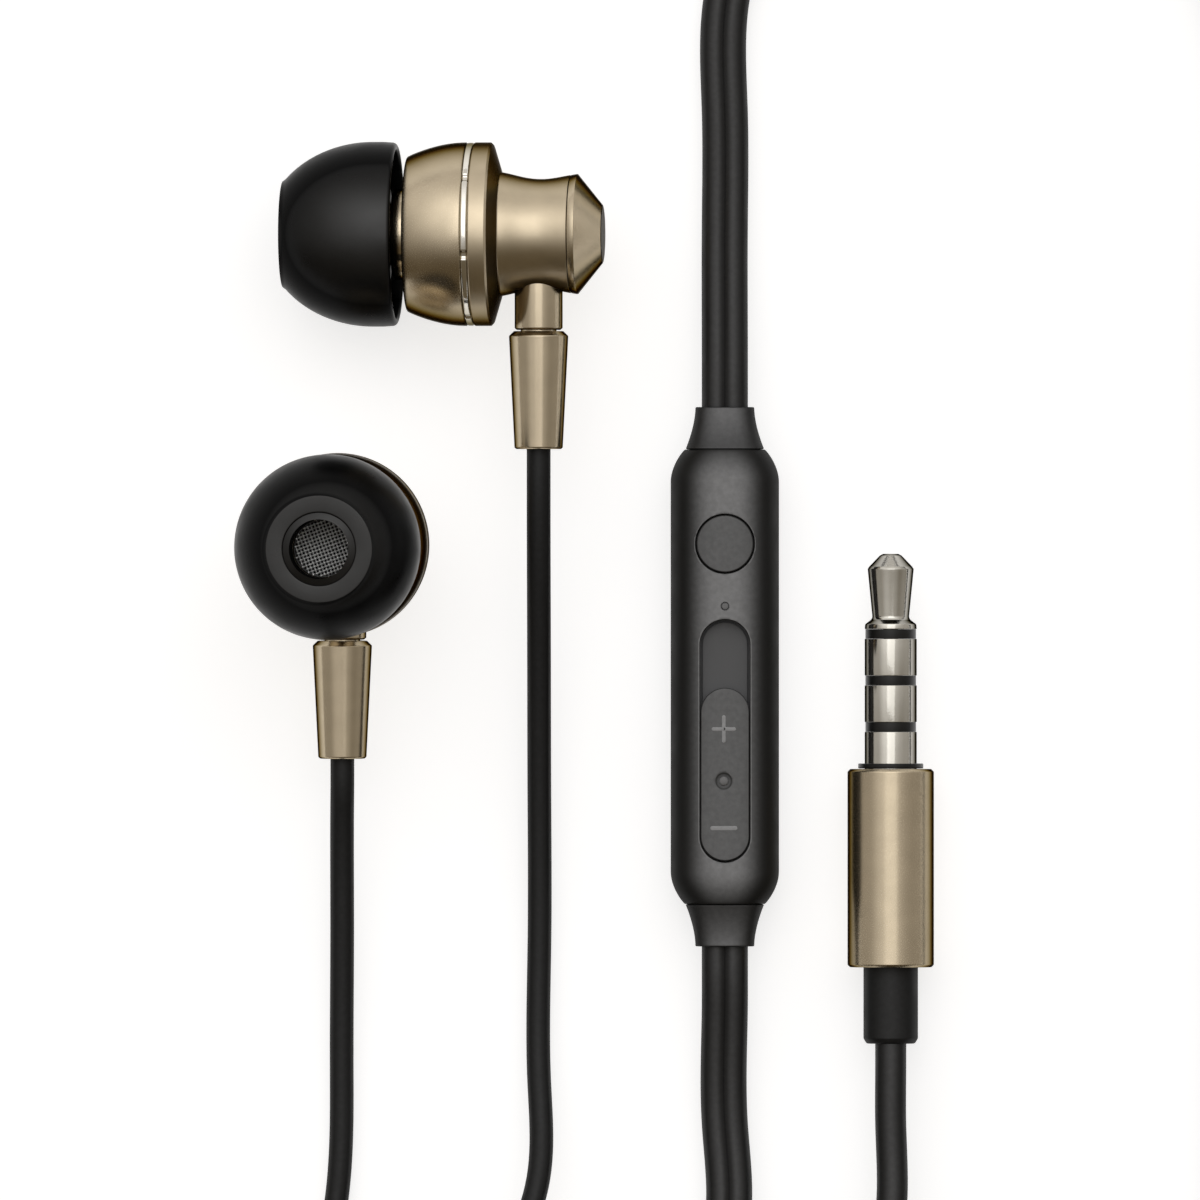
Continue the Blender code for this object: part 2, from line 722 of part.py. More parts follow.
def remote_back():
    sections = [back_section(y) for y in body_stations()]
    made = lofted("remote_back_shell", sections, black_plastic)
    cut(made, cavity("back_cavity", REMOTE_WALL, REMOTE_PARTING + SEAT_GAP))
    return made


def remote_front():
    """The front shell, with a hole for the button, one for the microphone and the slider's pocket."""
    sections = [front_section(y) for y in body_stations()]
    made = lofted("remote_front_shell", sections, black_plastic)
    button_hole = turned(
        "button_hole",
        disc(BUTTON_RADIUS + RUNNING_GAP, ceiling - SEAT_GAP, REMOTE_THICKNESS + SEAT_GAP),
        None,
        location=(0, BUTTON_Y, 0),
    )
    mic_hole = turned(
        "mic_hole",
        disc(MIC_HOLE_RADIUS, ceiling - SEAT_GAP, REMOTE_THICKNESS + SEAT_GAP),
        None,
        sides=8,
        location=(0, MIC_Y, 0),
    )
    pocket = pill(
        "slider_pocket",
        POCKET_LENGTH,
        POCKET_WIDTH,
        pocket_floor,
        REMOTE_THICKNESS + SEAT_GAP,
        POCKET_LOW_END_Y + POCKET_LENGTH / 2,
        None,
    )
    slit = block(
        "slider_slit",
        (
            SLIDER_STEM_WIDTH + SEAT_GAP,
            slit_high_y - slit_low_y,
            pocket_floor - ceiling + 2 * SEAT_GAP,
        ),
        (0, (slit_low_y + slit_high_y) / 2, (pocket_floor + ceiling) / 2),
        None,
    )
    cut(
        made,
        cavity("front_cavity", REMOTE_PARTING - SEAT_GAP, ceiling),
        button_hole,
        mic_hole,
        pocket,
        slit,
    )
    return made


def disc(radius, low, high):
    return [(0, low), (radius, low), (radius, high), (0, high)]


def oval_section(width, height, centre_z, y, power, count=16):
    points = []
    for step in range(count):
        angle = 2 * math.pi * (step + 0.5) / count
        c, s = math.cos(angle), math.sin(angle)
        x = width / 2 * math.copysign(abs(c) ** (2 / power), c)
        z = centre_z + height / 2 * math.copysign(abs(s) ** (2 / power), s)
        points.append((x, y, z))
    return points


def remote_relief(name, sign):
    """The waisted rubber end that the cord leaves."""
    base_width = REMOTE_END_WIDTH - 0.0001
    base_height = REMOTE_THICKNESS - 2 * REMOTE_END_DROP - 0.0002
    middle = REMOTE_THICKNESS / 2
    sections = []
    for run in (0.0, 0.2, 0.45, 0.75, 1.0):
        ease = (1 - run) ** 1.7
        width = RELIEF_END_WIDTH + (base_width - RELIEF_END_WIDTH) * ease
        height = RELIEF_END_HEIGHT + (base_height - RELIEF_END_HEIGHT) * ease
        centre = cord_height + (middle - cord_height) * ease
        y = sign * (half_length + SEAM + RELIEF_LENGTH * run)
        sections.append(oval_section(width, height, centre, y, 3.2 - 0.8 * run))
    return lofted(name, sections, black_rubber)


def call_button():
    """A round crowned key, its flange under the front shell and its plunger over the dome."""
    top = REMOTE_THICKNESS + BUTTON_PROUD + SEAT_GAP
    flange_top = ceiling - SEAT_GAP / 3
    flange_low = flange_top - BUTTON_FLANGE_THICKNESS
    dome_top = part_low + SWITCH_SIZE[2] + DOME_HEIGHT
    plunger_low = dome_top + BUTTON_TRAVEL + SEAT_GAP / 4
    profile = [
        (0, top),
        (BUTTON_RADIUS, top),
        (BUTTON_RADIUS, flange_top),
        (BUTTON_RADIUS + BUTTON_FLANGE, flange_top),
        (BUTTON_RADIUS + BUTTON_FLANGE, flange_low),
        (BUTTON_PLUNGER_RADIUS, flange_low),
        (BUTTON_PLUNGER_RADIUS, plunger_low),
        (0, plunger_low),
    ]
    made = turned("call_button", profile, black_plastic, location=(0, BUTTON_Y, 0))
    cut(made, crown_trimmer("button_trimmer", BUTTON_PROUD, made))
    return made


def volume_slider():
    """A long crowned key in its pocket, with a stem down through the slit."""
    low = pocket_floor + RUNNING_GAP
    top = REMOTE_THICKNESS + SLIDER_PROUD + SEAT_GAP
    made = pill("volume_slider", SLIDER_LENGTH, slider_width, low, top, 0, black_plastic)
    made.location.y = slider_low_y + SLIDER_LENGTH / 2
    cut(made, crown_trimmer("slider_trimmer", SLIDER_PROUD, made))
    stem_low = wiper_top + RUNNING_GAP
    key_stem = block(
        "slider_key_stem",
        (SLIDER_STEM_WIDTH, SLIDER_STEM_LENGTH, low - stem_low + SEAT_GAP),
        (0, slider_stem_y - made.location.y, (low + stem_low + SEAT_GAP) / 2),
        None,
        made,
    )
    join_solids(made, key_stem)
    return made


def slider_wiper():
    """The carriage that the slider's stem pushes along the resistive track."""
    made = block(
        "slider_wiper",
        (WIPER_WIDTH, WIPER_LENGTH, WIPER_THICKNESS),
        (0, slider_stem_y, (wiper_low + wiper_top) / 2),
        brass,
    )
    shoe_height = POT_GROOVE_DEPTH - RUNNING_GAP + WIPER_THICKNESS / 2
    shoe = block(
        "wiper_shoe",
        (POT_GROOVE_WIDTH - 2 * RUNNING_GAP, WIPER_LENGTH * 0.8, shoe_height),
        (0, 0, -shoe_height / 2),
        None,
        made,
    )
    join_solids(made, shoe)
    return made


def slide_potentiometer():
    length = slider_travel + WIPER_LENGTH + 2 * POT_END
    centre_y = slider_stem_y + slider_travel / 2
    made = block(
        "slide_potentiometer",
        (POT_WIDTH, length, POT_HEIGHT),
        (0, centre_y, part_low + POT_HEIGHT / 2),
        black_plastic,
    )
    groove = block(
        "potentiometer_groove",
        (POT_GROOVE_WIDTH, slider_travel + WIPER_LENGTH, POT_GROOVE_DEPTH * 2),
        (0, 0, POT_HEIGHT / 2),
        None,
        made,
    )
    cut(made, groove)
    return made


def remote_inner_parts():
    block(
        "circuit_board",
        (BOARD_WIDTH, BOARD_LENGTH, BOARD_THICKNESS),
        (0, 0, board_low + BOARD_THICKNESS / 2),
        board_green,
    )
    slide_potentiometer()
    slider_wiper()
    block(
        "microphone",
        MICROPHONE_SIZE,
        (0, MIC_Y, part_low + MICROPHONE_SIZE[2] / 2),
        steel,
        edge=0.0001,
    )
    low = part_low
    high = low + SWITCH_SIZE[2]
    half = SWITCH_SIZE[0] / 2
    profile = [
        (0, high + DOME_HEIGHT),
        (DOME_RADIUS * 0.6, high + DOME_HEIGHT * 0.8),
        (DOME_RADIUS, high),
        (half, high),
        (half, low),
        (0, low),
    ]
    turned("dome_switch", profile, steel, sides=SIDES_SMALL, location=(0, BUTTON_Y, 0))


def remote():
    remote_back()
    remote_front()
    remote_relief("remote_relief_upper", 1)
    remote_relief("remote_relief_lower", -1)
    call_button()
    volume_slider()
    remote_inner_parts()


# ================================================================ plug
def plug_matrix():
    height = BARREL_RADIUS + FLOOR_GAP
    return Matrix.Translation((*PLUG_XY, height)) @ Matrix.Rotation(-math.pi / 2, 4, "X")


def plug_stations():
    """Distances behind the plug's tip: (start, end) of each contact and insulator, in order."""
    lengths = [PLUG_TIP_LENGTH]
    lengths += [PLUG_INSULATOR_LENGTH, PLUG_RING_LENGTH] * 2
    lengths += [PLUG_INSULATOR_LENGTH, PLUG_SLEEVE_LENGTH, PLUG_COLLAR_LENGTH]
    stations = []
    at = 0.0
    for length in lengths:
        stations.append((at, at + length))
        at += length + PLUG_JOINT
    return stations


def tube_profile(bore, radius, start, end):
    return [(bore, -start), (radius, -start), (radius, -end), (bore, -end)]


def plug():
    """Four contacts with three insulators, a collar, the barrel and its relief, along -Z."""
    axis = frame_at("plug_axis", plug_matrix())
    stations = plug_stations()
    barrel_front = stations[-1][1] + PLUG_JOINT
    barrel_rear = barrel_front + BARREL_LENGTH
    core_end = barrel_front + BARREL_LENGTH / 3
    tip_end = stations[0][1]
    tip = [
        (0, 0),
        (PLUG_APEX_RADIUS, 0),
        (PLUG_HEAD_RADIUS - 0.0001, -PLUG_HEAD_LENGTH * 0.85),
        (PLUG_HEAD_RADIUS, -PLUG_HEAD_LENGTH),
        (PLUG_WAIST_RADIUS, -PLUG_WAIST_FROM_APEX),
        (PLUG_RADIUS, -(PLUG_WAIST_FROM_APEX + tip_end) / 2 - 0.0001),
        (PLUG_RADIUS, -tip_end),
        (PLUG_CORE_RADIUS, -tip_end),
        (PLUG_CORE_RADIUS, -core_end),
        (0, -core_end),
    ]
    turned("plug_tip", tip, steel, axis, SIDES_SMALL)
    names = [
        "plug_insulator_1",
        "plug_ring_1",
        "plug_insulator_2",
        "plug_ring_2",
        "plug_insulator_3",
    ]
    for name, (start, end) in zip(names, stations[1:6]):
        finish = black_plastic if "insulator" in name else steel
        profile = tube_profile(PLUG_RING_BORE_RADIUS, PLUG_RADIUS, start, end)
        turned(name, profile, finish, axis, SIDES_SMALL)
    flange_front = barrel_front + BARREL_WALL + PLUG_JOINT
    flange_radius = BARREL_RADIUS - BARREL_WALL - SEAT_GAP / 2
    sleeve_start = stations[6][0]
    sleeve = [
        (PLUG_RING_BORE_RADIUS, -sleeve_start),
        (PLUG_RADIUS, -sleeve_start),
        (PLUG_RADIUS, -flange_front),
        (flange_radius, -flange_front),
        (flange_radius, -flange_front - BARREL_WALL * 2),
        (PLUG_RING_BORE_RADIUS, -flange_front - BARREL_WALL * 2),
    ]
    turned("plug_sleeve", sleeve, steel, axis, SIDES_SMALL)
    collar = tube_profile(PLUG_RADIUS + PLUG_JOINT, PLUG_COLLAR_RADIUS, *stations[7])
    turned("plug_collar", collar, black_plastic, axis, SIDES_SMALL)
    inner = BARREL_RADIUS - BARREL_WALL
    front_hole = PLUG_RADIUS + PLUG_JOINT
    rear_hole = PLUG_RELIEF_RADIUS + PLUG_JOINT
    barrel = [
        (front_hole, -barrel_front),
        (BARREL_RADIUS - BARREL_EDGE, -barrel_front),
        (BARREL_RADIUS, -barrel_front - BARREL_EDGE),
        (BARREL_RADIUS, -barrel_rear + BARREL_EDGE),
        (BARREL_RADIUS - BARREL_EDGE, -barrel_rear),
        (rear_hole, -barrel_rear),
        (rear_hole, -barrel_rear + BARREL_WALL),
        (inner, -barrel_rear + BARREL_WALL),
        (inner, -barrel_front - BARREL_WALL),
        (front_hole, -barrel_front - BARREL_WALL),
    ]
    turned("plug_barrel", barrel, gold, axis, SIDES_LARGE)
    step = -barrel_rear + BARREL_WALL + PLUG_JOINT
    relief = [
        (0, step + PLUG_RELIEF_SPIGOT),
        (inner - SEAT_GAP / 2, step + PLUG_RELIEF_SPIGOT),
        (inner - SEAT_GAP / 2, step),
        (PLUG_RELIEF_RADIUS, step),
        (PLUG_RELIEF_RADIUS, -barrel_rear - PLUG_RELIEF_LENGTH),
        (0, -barrel_rear - PLUG_RELIEF_LENGTH),
    ]
    turned("plug_relief", relief, black_rubber, axis, SIDES_SMALL)
    return axis.matrix_world @ Vector((0, 0, -barrel_rear - PLUG_RELIEF_LENGTH))


# ================================================================ splitter
def splitter_heading():
    return Vector((math.cos(SPLITTER_HEADING), math.sin(SPLITTER_HEADING), 0))


def splitter_centre():
    return Vector((*SPLITTER_CENTRE_XY, SPLITTER_HEIGHT / 2 + FLOOR_GAP))


def splitter():
    """The moulded joint where the two leads leave the main cord."""
    turn = Matrix.Rotation(SPLITTER_HEADING - math.pi / 2, 4, "Z")
    axis = frame_at("splitter_axis", Matrix.Translation(splitter_centre()) @ turn)
    half = SPLITTER_LENGTH / 2
    shares = ((-1.0, 0.86), (-0.86, 1.0), (0.3, 0.97), (1.0, 0.8))
    sections = []
    for place, size in shares:
        width = SPLITTER_WIDTH * size if place < 0 else (
            SPLITTER_END_WIDTH + (SPLITTER_WIDTH - SPLITTER_END_WIDTH) * (1 - place)
        )
        height = SPLITTER_HEIGHT * size
        sections.append(oval_section(width, height, 0, place * half, 3.0))
    lofted("splitter", sections, black_rubber, axis)


# ================================================================ cords
def smooth_through(points, first_slope, last_slope, spacing):
    """A cubic spline through the points, by chord length, read at an even spacing."""
    knots = np.array([tuple(point) for point in points])
    chords = np.linalg.norm(np.diff(knots, axis=0), axis=1)
    at = np.concatenate([[0.0], np.cumsum(chords)])
    count = len(knots)
    matrix = np.zeros((count, count))
    right = np.zeros((count, 3))
    matrix[0, 0] = matrix[-1, -1] = 1.0
    right[0] = tuple(first_slope)
    right[-1] = tuple(last_slope)
    for i in range(1, count - 1):
        before, after = chords[i - 1], chords[i]
        matrix[i, i - 1 : i + 2] = (after, 2 * (before + after), before)
        right[i] = 3 * (
            before * (knots[i + 1] - knots[i]) / after + after * (knots[i] - knots[i - 1]) / before
        )
    slopes = np.linalg.solve(matrix, right)
    fine = []
    for i in range(count - 1):
        for t in np.linspace(0, 1, 40, endpoint=False):
            fine.append(
                (2 * t**3 - 3 * t**2 + 1) * knots[i]
                + (t**3 - 2 * t**2 + t) * chords[i] * slopes[i]
                + (3 * t**2 - 2 * t**3) * knots[i + 1]
                + (t**3 - t**2) * chords[i] * slopes[i + 1]
            )
    fine.append(knots[-1])
    fine = np.array(fine)
    run = np.concatenate([[0.0], np.cumsum(np.linalg.norm(np.diff(fine, axis=0), axis=1))])
    steps = max(int(round(run[-1] / spacing)), SHORTEST_STRETCH_STEPS)
    even = np.linspace(0, run[-1], steps + 1)
    return [tuple(np.interp(place, run, fine[:, k]) for k in range(3)) for place in even]


def stretch(start, start_heading, route, end, end_heading, diameter):
    """A free stretch that leaves and arrives square, through its route's points."""
    lead_in = diameter / 2
    points = [start + start_heading * lead_in]
    points += [Vector(point) for point in route]
    points.append(end - end_heading * lead_in)
    middle = smooth_through(points, start_heading, end_heading, 2.5 * diameter)
    return [tuple(start), *middle, tuple(end)]


def cord_tube(name, points, finish, thickness, width=None, tilts=None, resolution=2):
    """A tube along the points; with a width it is a band that stands on edge at tilt 0."""
    curve = bpy.data.curves.new(name, "CURVE")
    curve.dimensions = "3D"
    curve.twist_mode = "Z_UP"
    curve.bevel_depth = thickness / 2
    curve.bevel_resolution = resolution
    curve.extrude = (width - thickness) / 2 if width else 0
    curve.use_fill_caps = True
    spline = curve.splines.new("POLY")
    spline.points.add(len(points) - 1)
    for i, point in enumerate(points):
        spline.points[i].co = (*point, 1.0)
        spline.points[i].tilt = tilts[i] if tilts else 0.0
    return add_object(name, curve, finish)


def coil_points(centre, radius, angles, loops, turning, heights, pitch, straight):
    """Loops that spiral in on one layer and out on the next, changing layer at the middle."""
    start, end = angles
    total = ((end - start) * turning) % (2 * math.pi) + 2 * math.pi * loops
    count = round(total / (2 * math.pi) * COIL_STEPS)
    points = []
    for step in range(count + 1):
        along = total * step / count
        climb = min(max((along - total / 2) / math.pi + 0.5, 0.0), 1.0)
        climb = climb * climb * (3 - 2 * climb)
        reach = radius - pitch * min(along, total - along) / (2 * math.pi)
        angle = start + turning * along
        points.append(Vector((
            centre[0] + reach * math.cos(angle),
            centre[1] + reach * math.sin(angle),
            heights[0] + (heights[1] - heights[0]) * climb,
        )))
    into = turning * Vector((-math.sin(start), math.cos(start), 0))
    out = turning * Vector((-math.sin(end), math.cos(end), 0))
    points.insert(0, points[0] - into * straight)
    points.append(points[-1] + out * straight)
    return points, into, out


def least_gap(points, thickness, height):
    """The least clearance between two turns, measured on points along the tube."""
    fine = []
    for low, high in zip(points, points[1:]):
        fine += [low.lerp(high, step / 4) for step in range(4)]
    line = np.array([tuple(point) for point in fine])
    run = np.concatenate([[0.0], np.cumsum(np.linalg.norm(np.diff(line, axis=0), axis=1))])
    across = np.linalg.norm(line[:, None, :2] - line[None, :, :2], axis=2)
    rise = np.abs(line[:, None, 2] - line[None, :, 2]) - (height - thickness)
    gap = np.hypot(across, np.maximum(rise, 0)) - thickness
    apart = np.abs(run[:, None] - run[None, :]) > 4 * max(thickness, height)
    return float(gap[apart].min())


def report_length(name, points):
    length = sum((Vector(b) - Vector(a)).length for a, b in zip(points, points[1:]))
    print(f"{name}: {length:.4f} m")


def lead_layer(layer):
    return LEAD_DIAMETER / 2 + FLOOR_GAP + layer * (LEAD_DIAMETER + TURN_GAP)


def lead(side, matrix, route, joining, radius, angles, layers, offset):
    """One ear lead: sleeve to coil, coil, and coil to splitter."""
    pitch = LEAD_DIAMETER + TURN_GAP
    heights = [lead_layer(layer) for layer in layers]
    coil, into, out = coil_points(
        LEAD_COIL_XY, radius, angles, LEAD_COIL_LOOPS, 1, heights, pitch, LEAD_DIAMETER
    )
    away = (matrix.to_3x3() @ Vector((0, -1, 0))).normalized()
    start = matrix @ Vector((0, -sleeve_end - SEAT_GAP, 0))
    upper = stretch(start, away, route, coil[0] - into * SEAT_GAP, into, LEAD_DIAMETER)
    heading = splitter_heading()
    across = Vector((heading.y, -heading.x, 0))
    entry = splitter_centre() - heading * (SPLITTER_LENGTH / 2 + SEAT_GAP) + across * offset
    lower = stretch(coil[-1] + out * SEAT_GAP, out, joining, entry, heading, LEAD_DIAMETER)
    cord_tube(side + "_lead_upper", upper, black_rubber, LEAD_DIAMETER)
    cord_tube(side + "_lead_coil", coil, black_rubber, LEAD_DIAMETER, resolution=1)
    cord_tube(side + "_lead_lower", lower, black_rubber, LEAD_DIAMETER)
    report_length(side + " lead, sleeve to coil", upper)
    report_length(side + " lead, coil", coil)
    report_length(side + " lead, coil to splitter", lower)
    gap = least_gap(coil, LEAD_DIAMETER, LEAD_DIAMETER)
    print(f"{side} lead coil, least gap: {gap * 1000:.2f} mm")


def main_cord(plug_end):
    """Remote to splitter, remote to coil, coil, and coil to plug."""
    pitch = CORD_THICKNESS + TURN_GAP
    low = CORD_WIDTH / 2 + FLOOR_GAP
    heights = (low, low + CORD_WIDTH + TURN_GAP)
    coil, into, out = coil_points(
        MAIN_COIL_XY,
        MAIN_COIL_RADIUS,
        (MAIN_COIL_START, MAIN_COIL_END),
        MAIN_COIL_LOOPS,
        -1,
        heights,
        pitch,
        CORD_WIDTH,
    )
    exit_y = half_length + SEAM + RELIEF_LENGTH + SEAT_GAP
    ahead, back = Vector((0, 1, 0)), Vector((0, -1, 0))
    upper = stretch(
        Vector((0, exit_y, cord_height)),
        ahead,
        UPPER_CORD_ROUTE,
        coil[0] - into * SEAT_GAP,
        into,
        CORD_THICKNESS,
    )
    heading = splitter_heading()
    joint = splitter_centre() + heading * (SPLITTER_LENGTH / 2 + SEAT_GAP)
    lower = stretch(
        Vector((0, -exit_y, cord_height)), back, LOWER_CORD_ROUTE, joint, -heading, CORD_THICKNESS
    )
    to_plug = stretch(
        plug_end - Vector((0, SEAT_GAP, 0)),
        back,
        PLUG_CORD_ROUTE,
        coil[-1] + out * SEAT_GAP,
        -out,
        CORD_THICKNESS,
    )
    flat = math.pi / 2
    tilts = []
    for i in range(len(upper)):
        share = i / (len(upper) - 1)
        turned_by = (share - UPPER_CORD_FLAT_TO) / (UPPER_CORD_EDGE_FROM - UPPER_CORD_FLAT_TO)
        turned_by = min(max(turned_by, 0.0), 1.0)
        tilts.append(flat * (1 - turned_by * turned_by * (3 - 2 * turned_by)))
    size = (CORD_THICKNESS, CORD_WIDTH)
    cord_tube("upper_cord", upper, black_rubber, *size, tilts)
    cord_tube("lower_cord", lower, black_rubber, *size, [flat] * len(lower))
    cord_tube("plug_cord", to_plug, black_rubber, *size)
    cord_tube("cord_coil", coil, black_rubber, *size, resolution=1)
    report_length("remote to coil", upper)
    report_length("main coil", coil)
    report_length("coil to plug", to_plug)
    report_length("remote to splitter", lower)
    gap = least_gap(coil, CORD_THICKNESS, CORD_WIDTH)
    print(f"main coil, least gap: {gap * 1000:.2f} mm")


# ================================================================ assembly
clear_scene()

gold = material("champagne_aluminium", (0.52, 0.43, 0.30), 0.32, 1.0)
bright = material("polished_trim", (0.85, 0.82, 0.76), 0.12, 1.0)
steel = material("nickel_plating", (0.66, 0.63, 0.58), 0.2, 1.0)
steel_mesh = material("woven_steel", (0.30, 0.30, 0.30), 0.45, 1.0)
brass = material("brass_contact", (0.70, 0.52, 0.22), 0.3, 1.0)
silicone = material("black_silicone", (0.012, 0.012, 0.013), 0.5)
black_plastic = material("satin_black_plastic", (0.03, 0.03, 0.032), 0.42)
black_rubber = material("black_elastomer", (0.022, 0.022, 0.024), 0.5)
board_green = material("circuit_board", (0.02, 0.10, 0.04), 0.5)
film = material("diaphragm_film", (0.45, 0.42, 0.36), 0.3)

right_matrix = right_earpiece_matrix()
left_matrix = left_earpiece_matrix()
earpiece("right", right_matrix)
earpiece("left", left_matrix)
remote()
plug_end = plug()
splitter()
lead(
    "right",
    right_matrix,
    RIGHT_LEAD_ROUTE,
    RIGHT_JOINING_ROUTE,
    RIGHT_COIL_RADIUS,
    (RIGHT_COIL_START, RIGHT_COIL_END),
    (3, 2),
    LEAD_SPACING / 2,
)
lead(
    "left",
    left_matrix,
    LEFT_LEAD_ROUTE,
    LEFT_JOINING_ROUTE,
    LEFT_COIL_RADIUS,
    (LEFT_COIL_START, LEFT_COIL_END),
    (0, 1),
    -LEAD_SPACING / 2,
)
main_cord(plug_end)
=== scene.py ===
"""Looks of the wired earphones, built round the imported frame.

Shapes and finishes are written in millimetres. Matrices, and the cords' routes, which repeat the
source's points, are in metres.
"""

import math

import bmesh
import bpy
import numpy as np
from mathutils import Matrix, Vector


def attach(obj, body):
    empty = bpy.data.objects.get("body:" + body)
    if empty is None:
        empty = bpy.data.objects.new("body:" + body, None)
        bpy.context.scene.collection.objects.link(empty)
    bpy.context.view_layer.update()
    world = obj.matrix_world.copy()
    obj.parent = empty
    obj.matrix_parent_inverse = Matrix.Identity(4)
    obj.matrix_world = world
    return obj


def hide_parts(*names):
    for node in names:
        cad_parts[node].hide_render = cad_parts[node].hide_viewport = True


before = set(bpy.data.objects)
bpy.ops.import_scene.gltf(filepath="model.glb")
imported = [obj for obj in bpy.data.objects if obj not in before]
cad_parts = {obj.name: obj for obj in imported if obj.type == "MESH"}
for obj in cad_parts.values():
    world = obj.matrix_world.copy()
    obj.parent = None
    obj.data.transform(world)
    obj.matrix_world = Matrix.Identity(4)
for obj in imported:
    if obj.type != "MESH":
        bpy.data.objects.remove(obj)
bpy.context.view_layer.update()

MM = 0.001
QUARTER = math.pi / 2

# ---------------------------------------------------------------- camera, first
VIEW_CENTRE = (-8.38 * MM, 5.15 * MM)
CAMERA_HEIGHT = 2.24

camera = bpy.data.objects.new("camera", bpy.data.cameras.new("camera"))
bpy.context.collection.objects.link(camera)
camera.data.lens = 1000
camera.data.sensor_width = 36
camera.data.clip_end = 10
camera.location = (*VIEW_CENTRE, CAMERA_HEIGHT)
bpy.context.scene.camera = camera
bpy.context.scene.view_settings.view_transform = "Standard"


# ================================================================ node trees
class Tree:
    """A node tree, with the nodes that the finishes and the surroundings share."""

    def __init__(self, tree):
        self.tree = tree

    def put(self, socket, value):
        """Links a source to the socket, or sets its constant."""
        if isinstance(value, bpy.types.NodeSocket):
            self.tree.links.new(value, socket)
        else:
            socket.default_value = value

    def node(self, kind, values=(), **settings):
        made = self.tree.nodes.new(kind)
        for key, value in settings.items():
            setattr(made, key, value)
        for socket, value in dict(values).items():
            self.put(made.inputs[socket], value)
        return made

    def combine(self, operation, first, second):
        return self.node("ShaderNodeMath", {0: first, 1: second}, operation=operation).outputs[0]

    def ranged(self, value, low, high, start=0.3, end=0.7, **settings):
        """From low to high, while the value goes from start to end."""
        values = {
            "Value": value, "From Min": start, "From Max": end, "To Min": low, "To Max": high
        }
        return self.node("ShaderNodeMapRange", values, **settings).outputs[0]


class Shader(Tree):
    """A material whose patterns follow the object's axes, or those of the matrix axis."""

    def __init__(self, name, color, axis=None):
        self.material = bpy.data.materials.new(name)
        self.material.use_nodes = True
        self.material.diffuse_color = (*color, 1.0)
        super().__init__(self.material.node_tree)
        self.principled = self.tree.nodes["Principled BSDF"]
        self.coordinates = self.node("ShaderNodeTexCoord").outputs["Object"]
        if axis is not None:
            values = {
                "Vector": self.coordinates, "Location": axis.translation,
                "Rotation": axis.to_euler(),
            }
            placed = self.node("ShaderNodeMapping", values, vector_type="TEXTURE")
            self.coordinates = placed.outputs[0]

    def noise(self, size, stretch=(1, 1, 1), detail=2.0):
        """Noise with features of about that size, longer where stretch is below 1."""
        values = {"Vector": self.coordinates, "Scale": stretch}
        placed = self.node("ShaderNodeMapping", values).outputs[0]
        values = {"Vector": placed, "Scale": 1 / (size * MM), "Detail": detail}
        return self.node("ShaderNodeTexNoise", values).outputs["Fac"]

    def facing(self, blend=0.5):
        """From 0, where the surface faces the eye, to 1 at its edge."""
        return self.node("ShaderNodeLayerWeight", {"Blend": blend}).outputs["Facing"]

    def blend(self, factor, first, second):
        values = {0: factor}
        for index, value in ((6, first), (7, second)):
            is_source = isinstance(value, bpy.types.NodeSocket)
            values[index] = value if is_source else (*value, 1.0)
        return self.node("ShaderNodeMix", values, data_type="RGBA").outputs[2]

    def bump(self, height, distance, strength=1.0, normal=None):
        values = {"Height": height, "Distance": distance * MM, "Strength": strength}
        if normal:
            values["Normal"] = normal
        return self.node("ShaderNodeBump", values).outputs[0]

    def set(self, **sockets):
        for name, value in sockets.items():
            self.put(self.principled.inputs[name.replace("_", " ")], value)


# ================================================================ finishes
def grey(level):
    return (level, level, level)


def shades(color, down, up):
    return tuple(c * down for c in color), tuple(min(c * up, 1.0) for c in color)


def satin_metal(name, color, roughness, edge, grain=0.05, turned=0.0, axis=None):
    """Blasted and anodised metal: fine grain, faint turning lines, slow shifts in its sheen.

    Edge is the colour of a painted shade that it darkens to where it turns away from the eye,
    standing in for the dark surroundings that its sides reflect."""
    made = Shader(name, color, axis)
    slow = made.noise(1.4, detail=3)
    fine = made.noise(grain)
    normal = made.bump(fine, 0.004, 0.5)
    if turned:
        lines = made.noise(0.05, (0.02, 0.02, 1.0), 1)
        normal = made.bump(lines, 0.003, turned, normal)
    facing = made.facing()
    plain = made.blend(made.ranged(slow, 0, 1), *shades(color, 0.95, 1.04))
    made.set(
        # Painted shade: the base colour darkens to the edge colour where the surface turns away
        # from the eye.
        Base_Color=made.blend(made.ranged(facing, 0, 1, 0.22, 0.75), plain, edge),
        Metallic=1.0,
        Roughness=made.ranged(fine, roughness * 0.9, roughness * 1.12),
        Specular_Tint=(*(c * 0.5 for c in edge), 1.0),
        Normal=normal,
    )
    return made.material


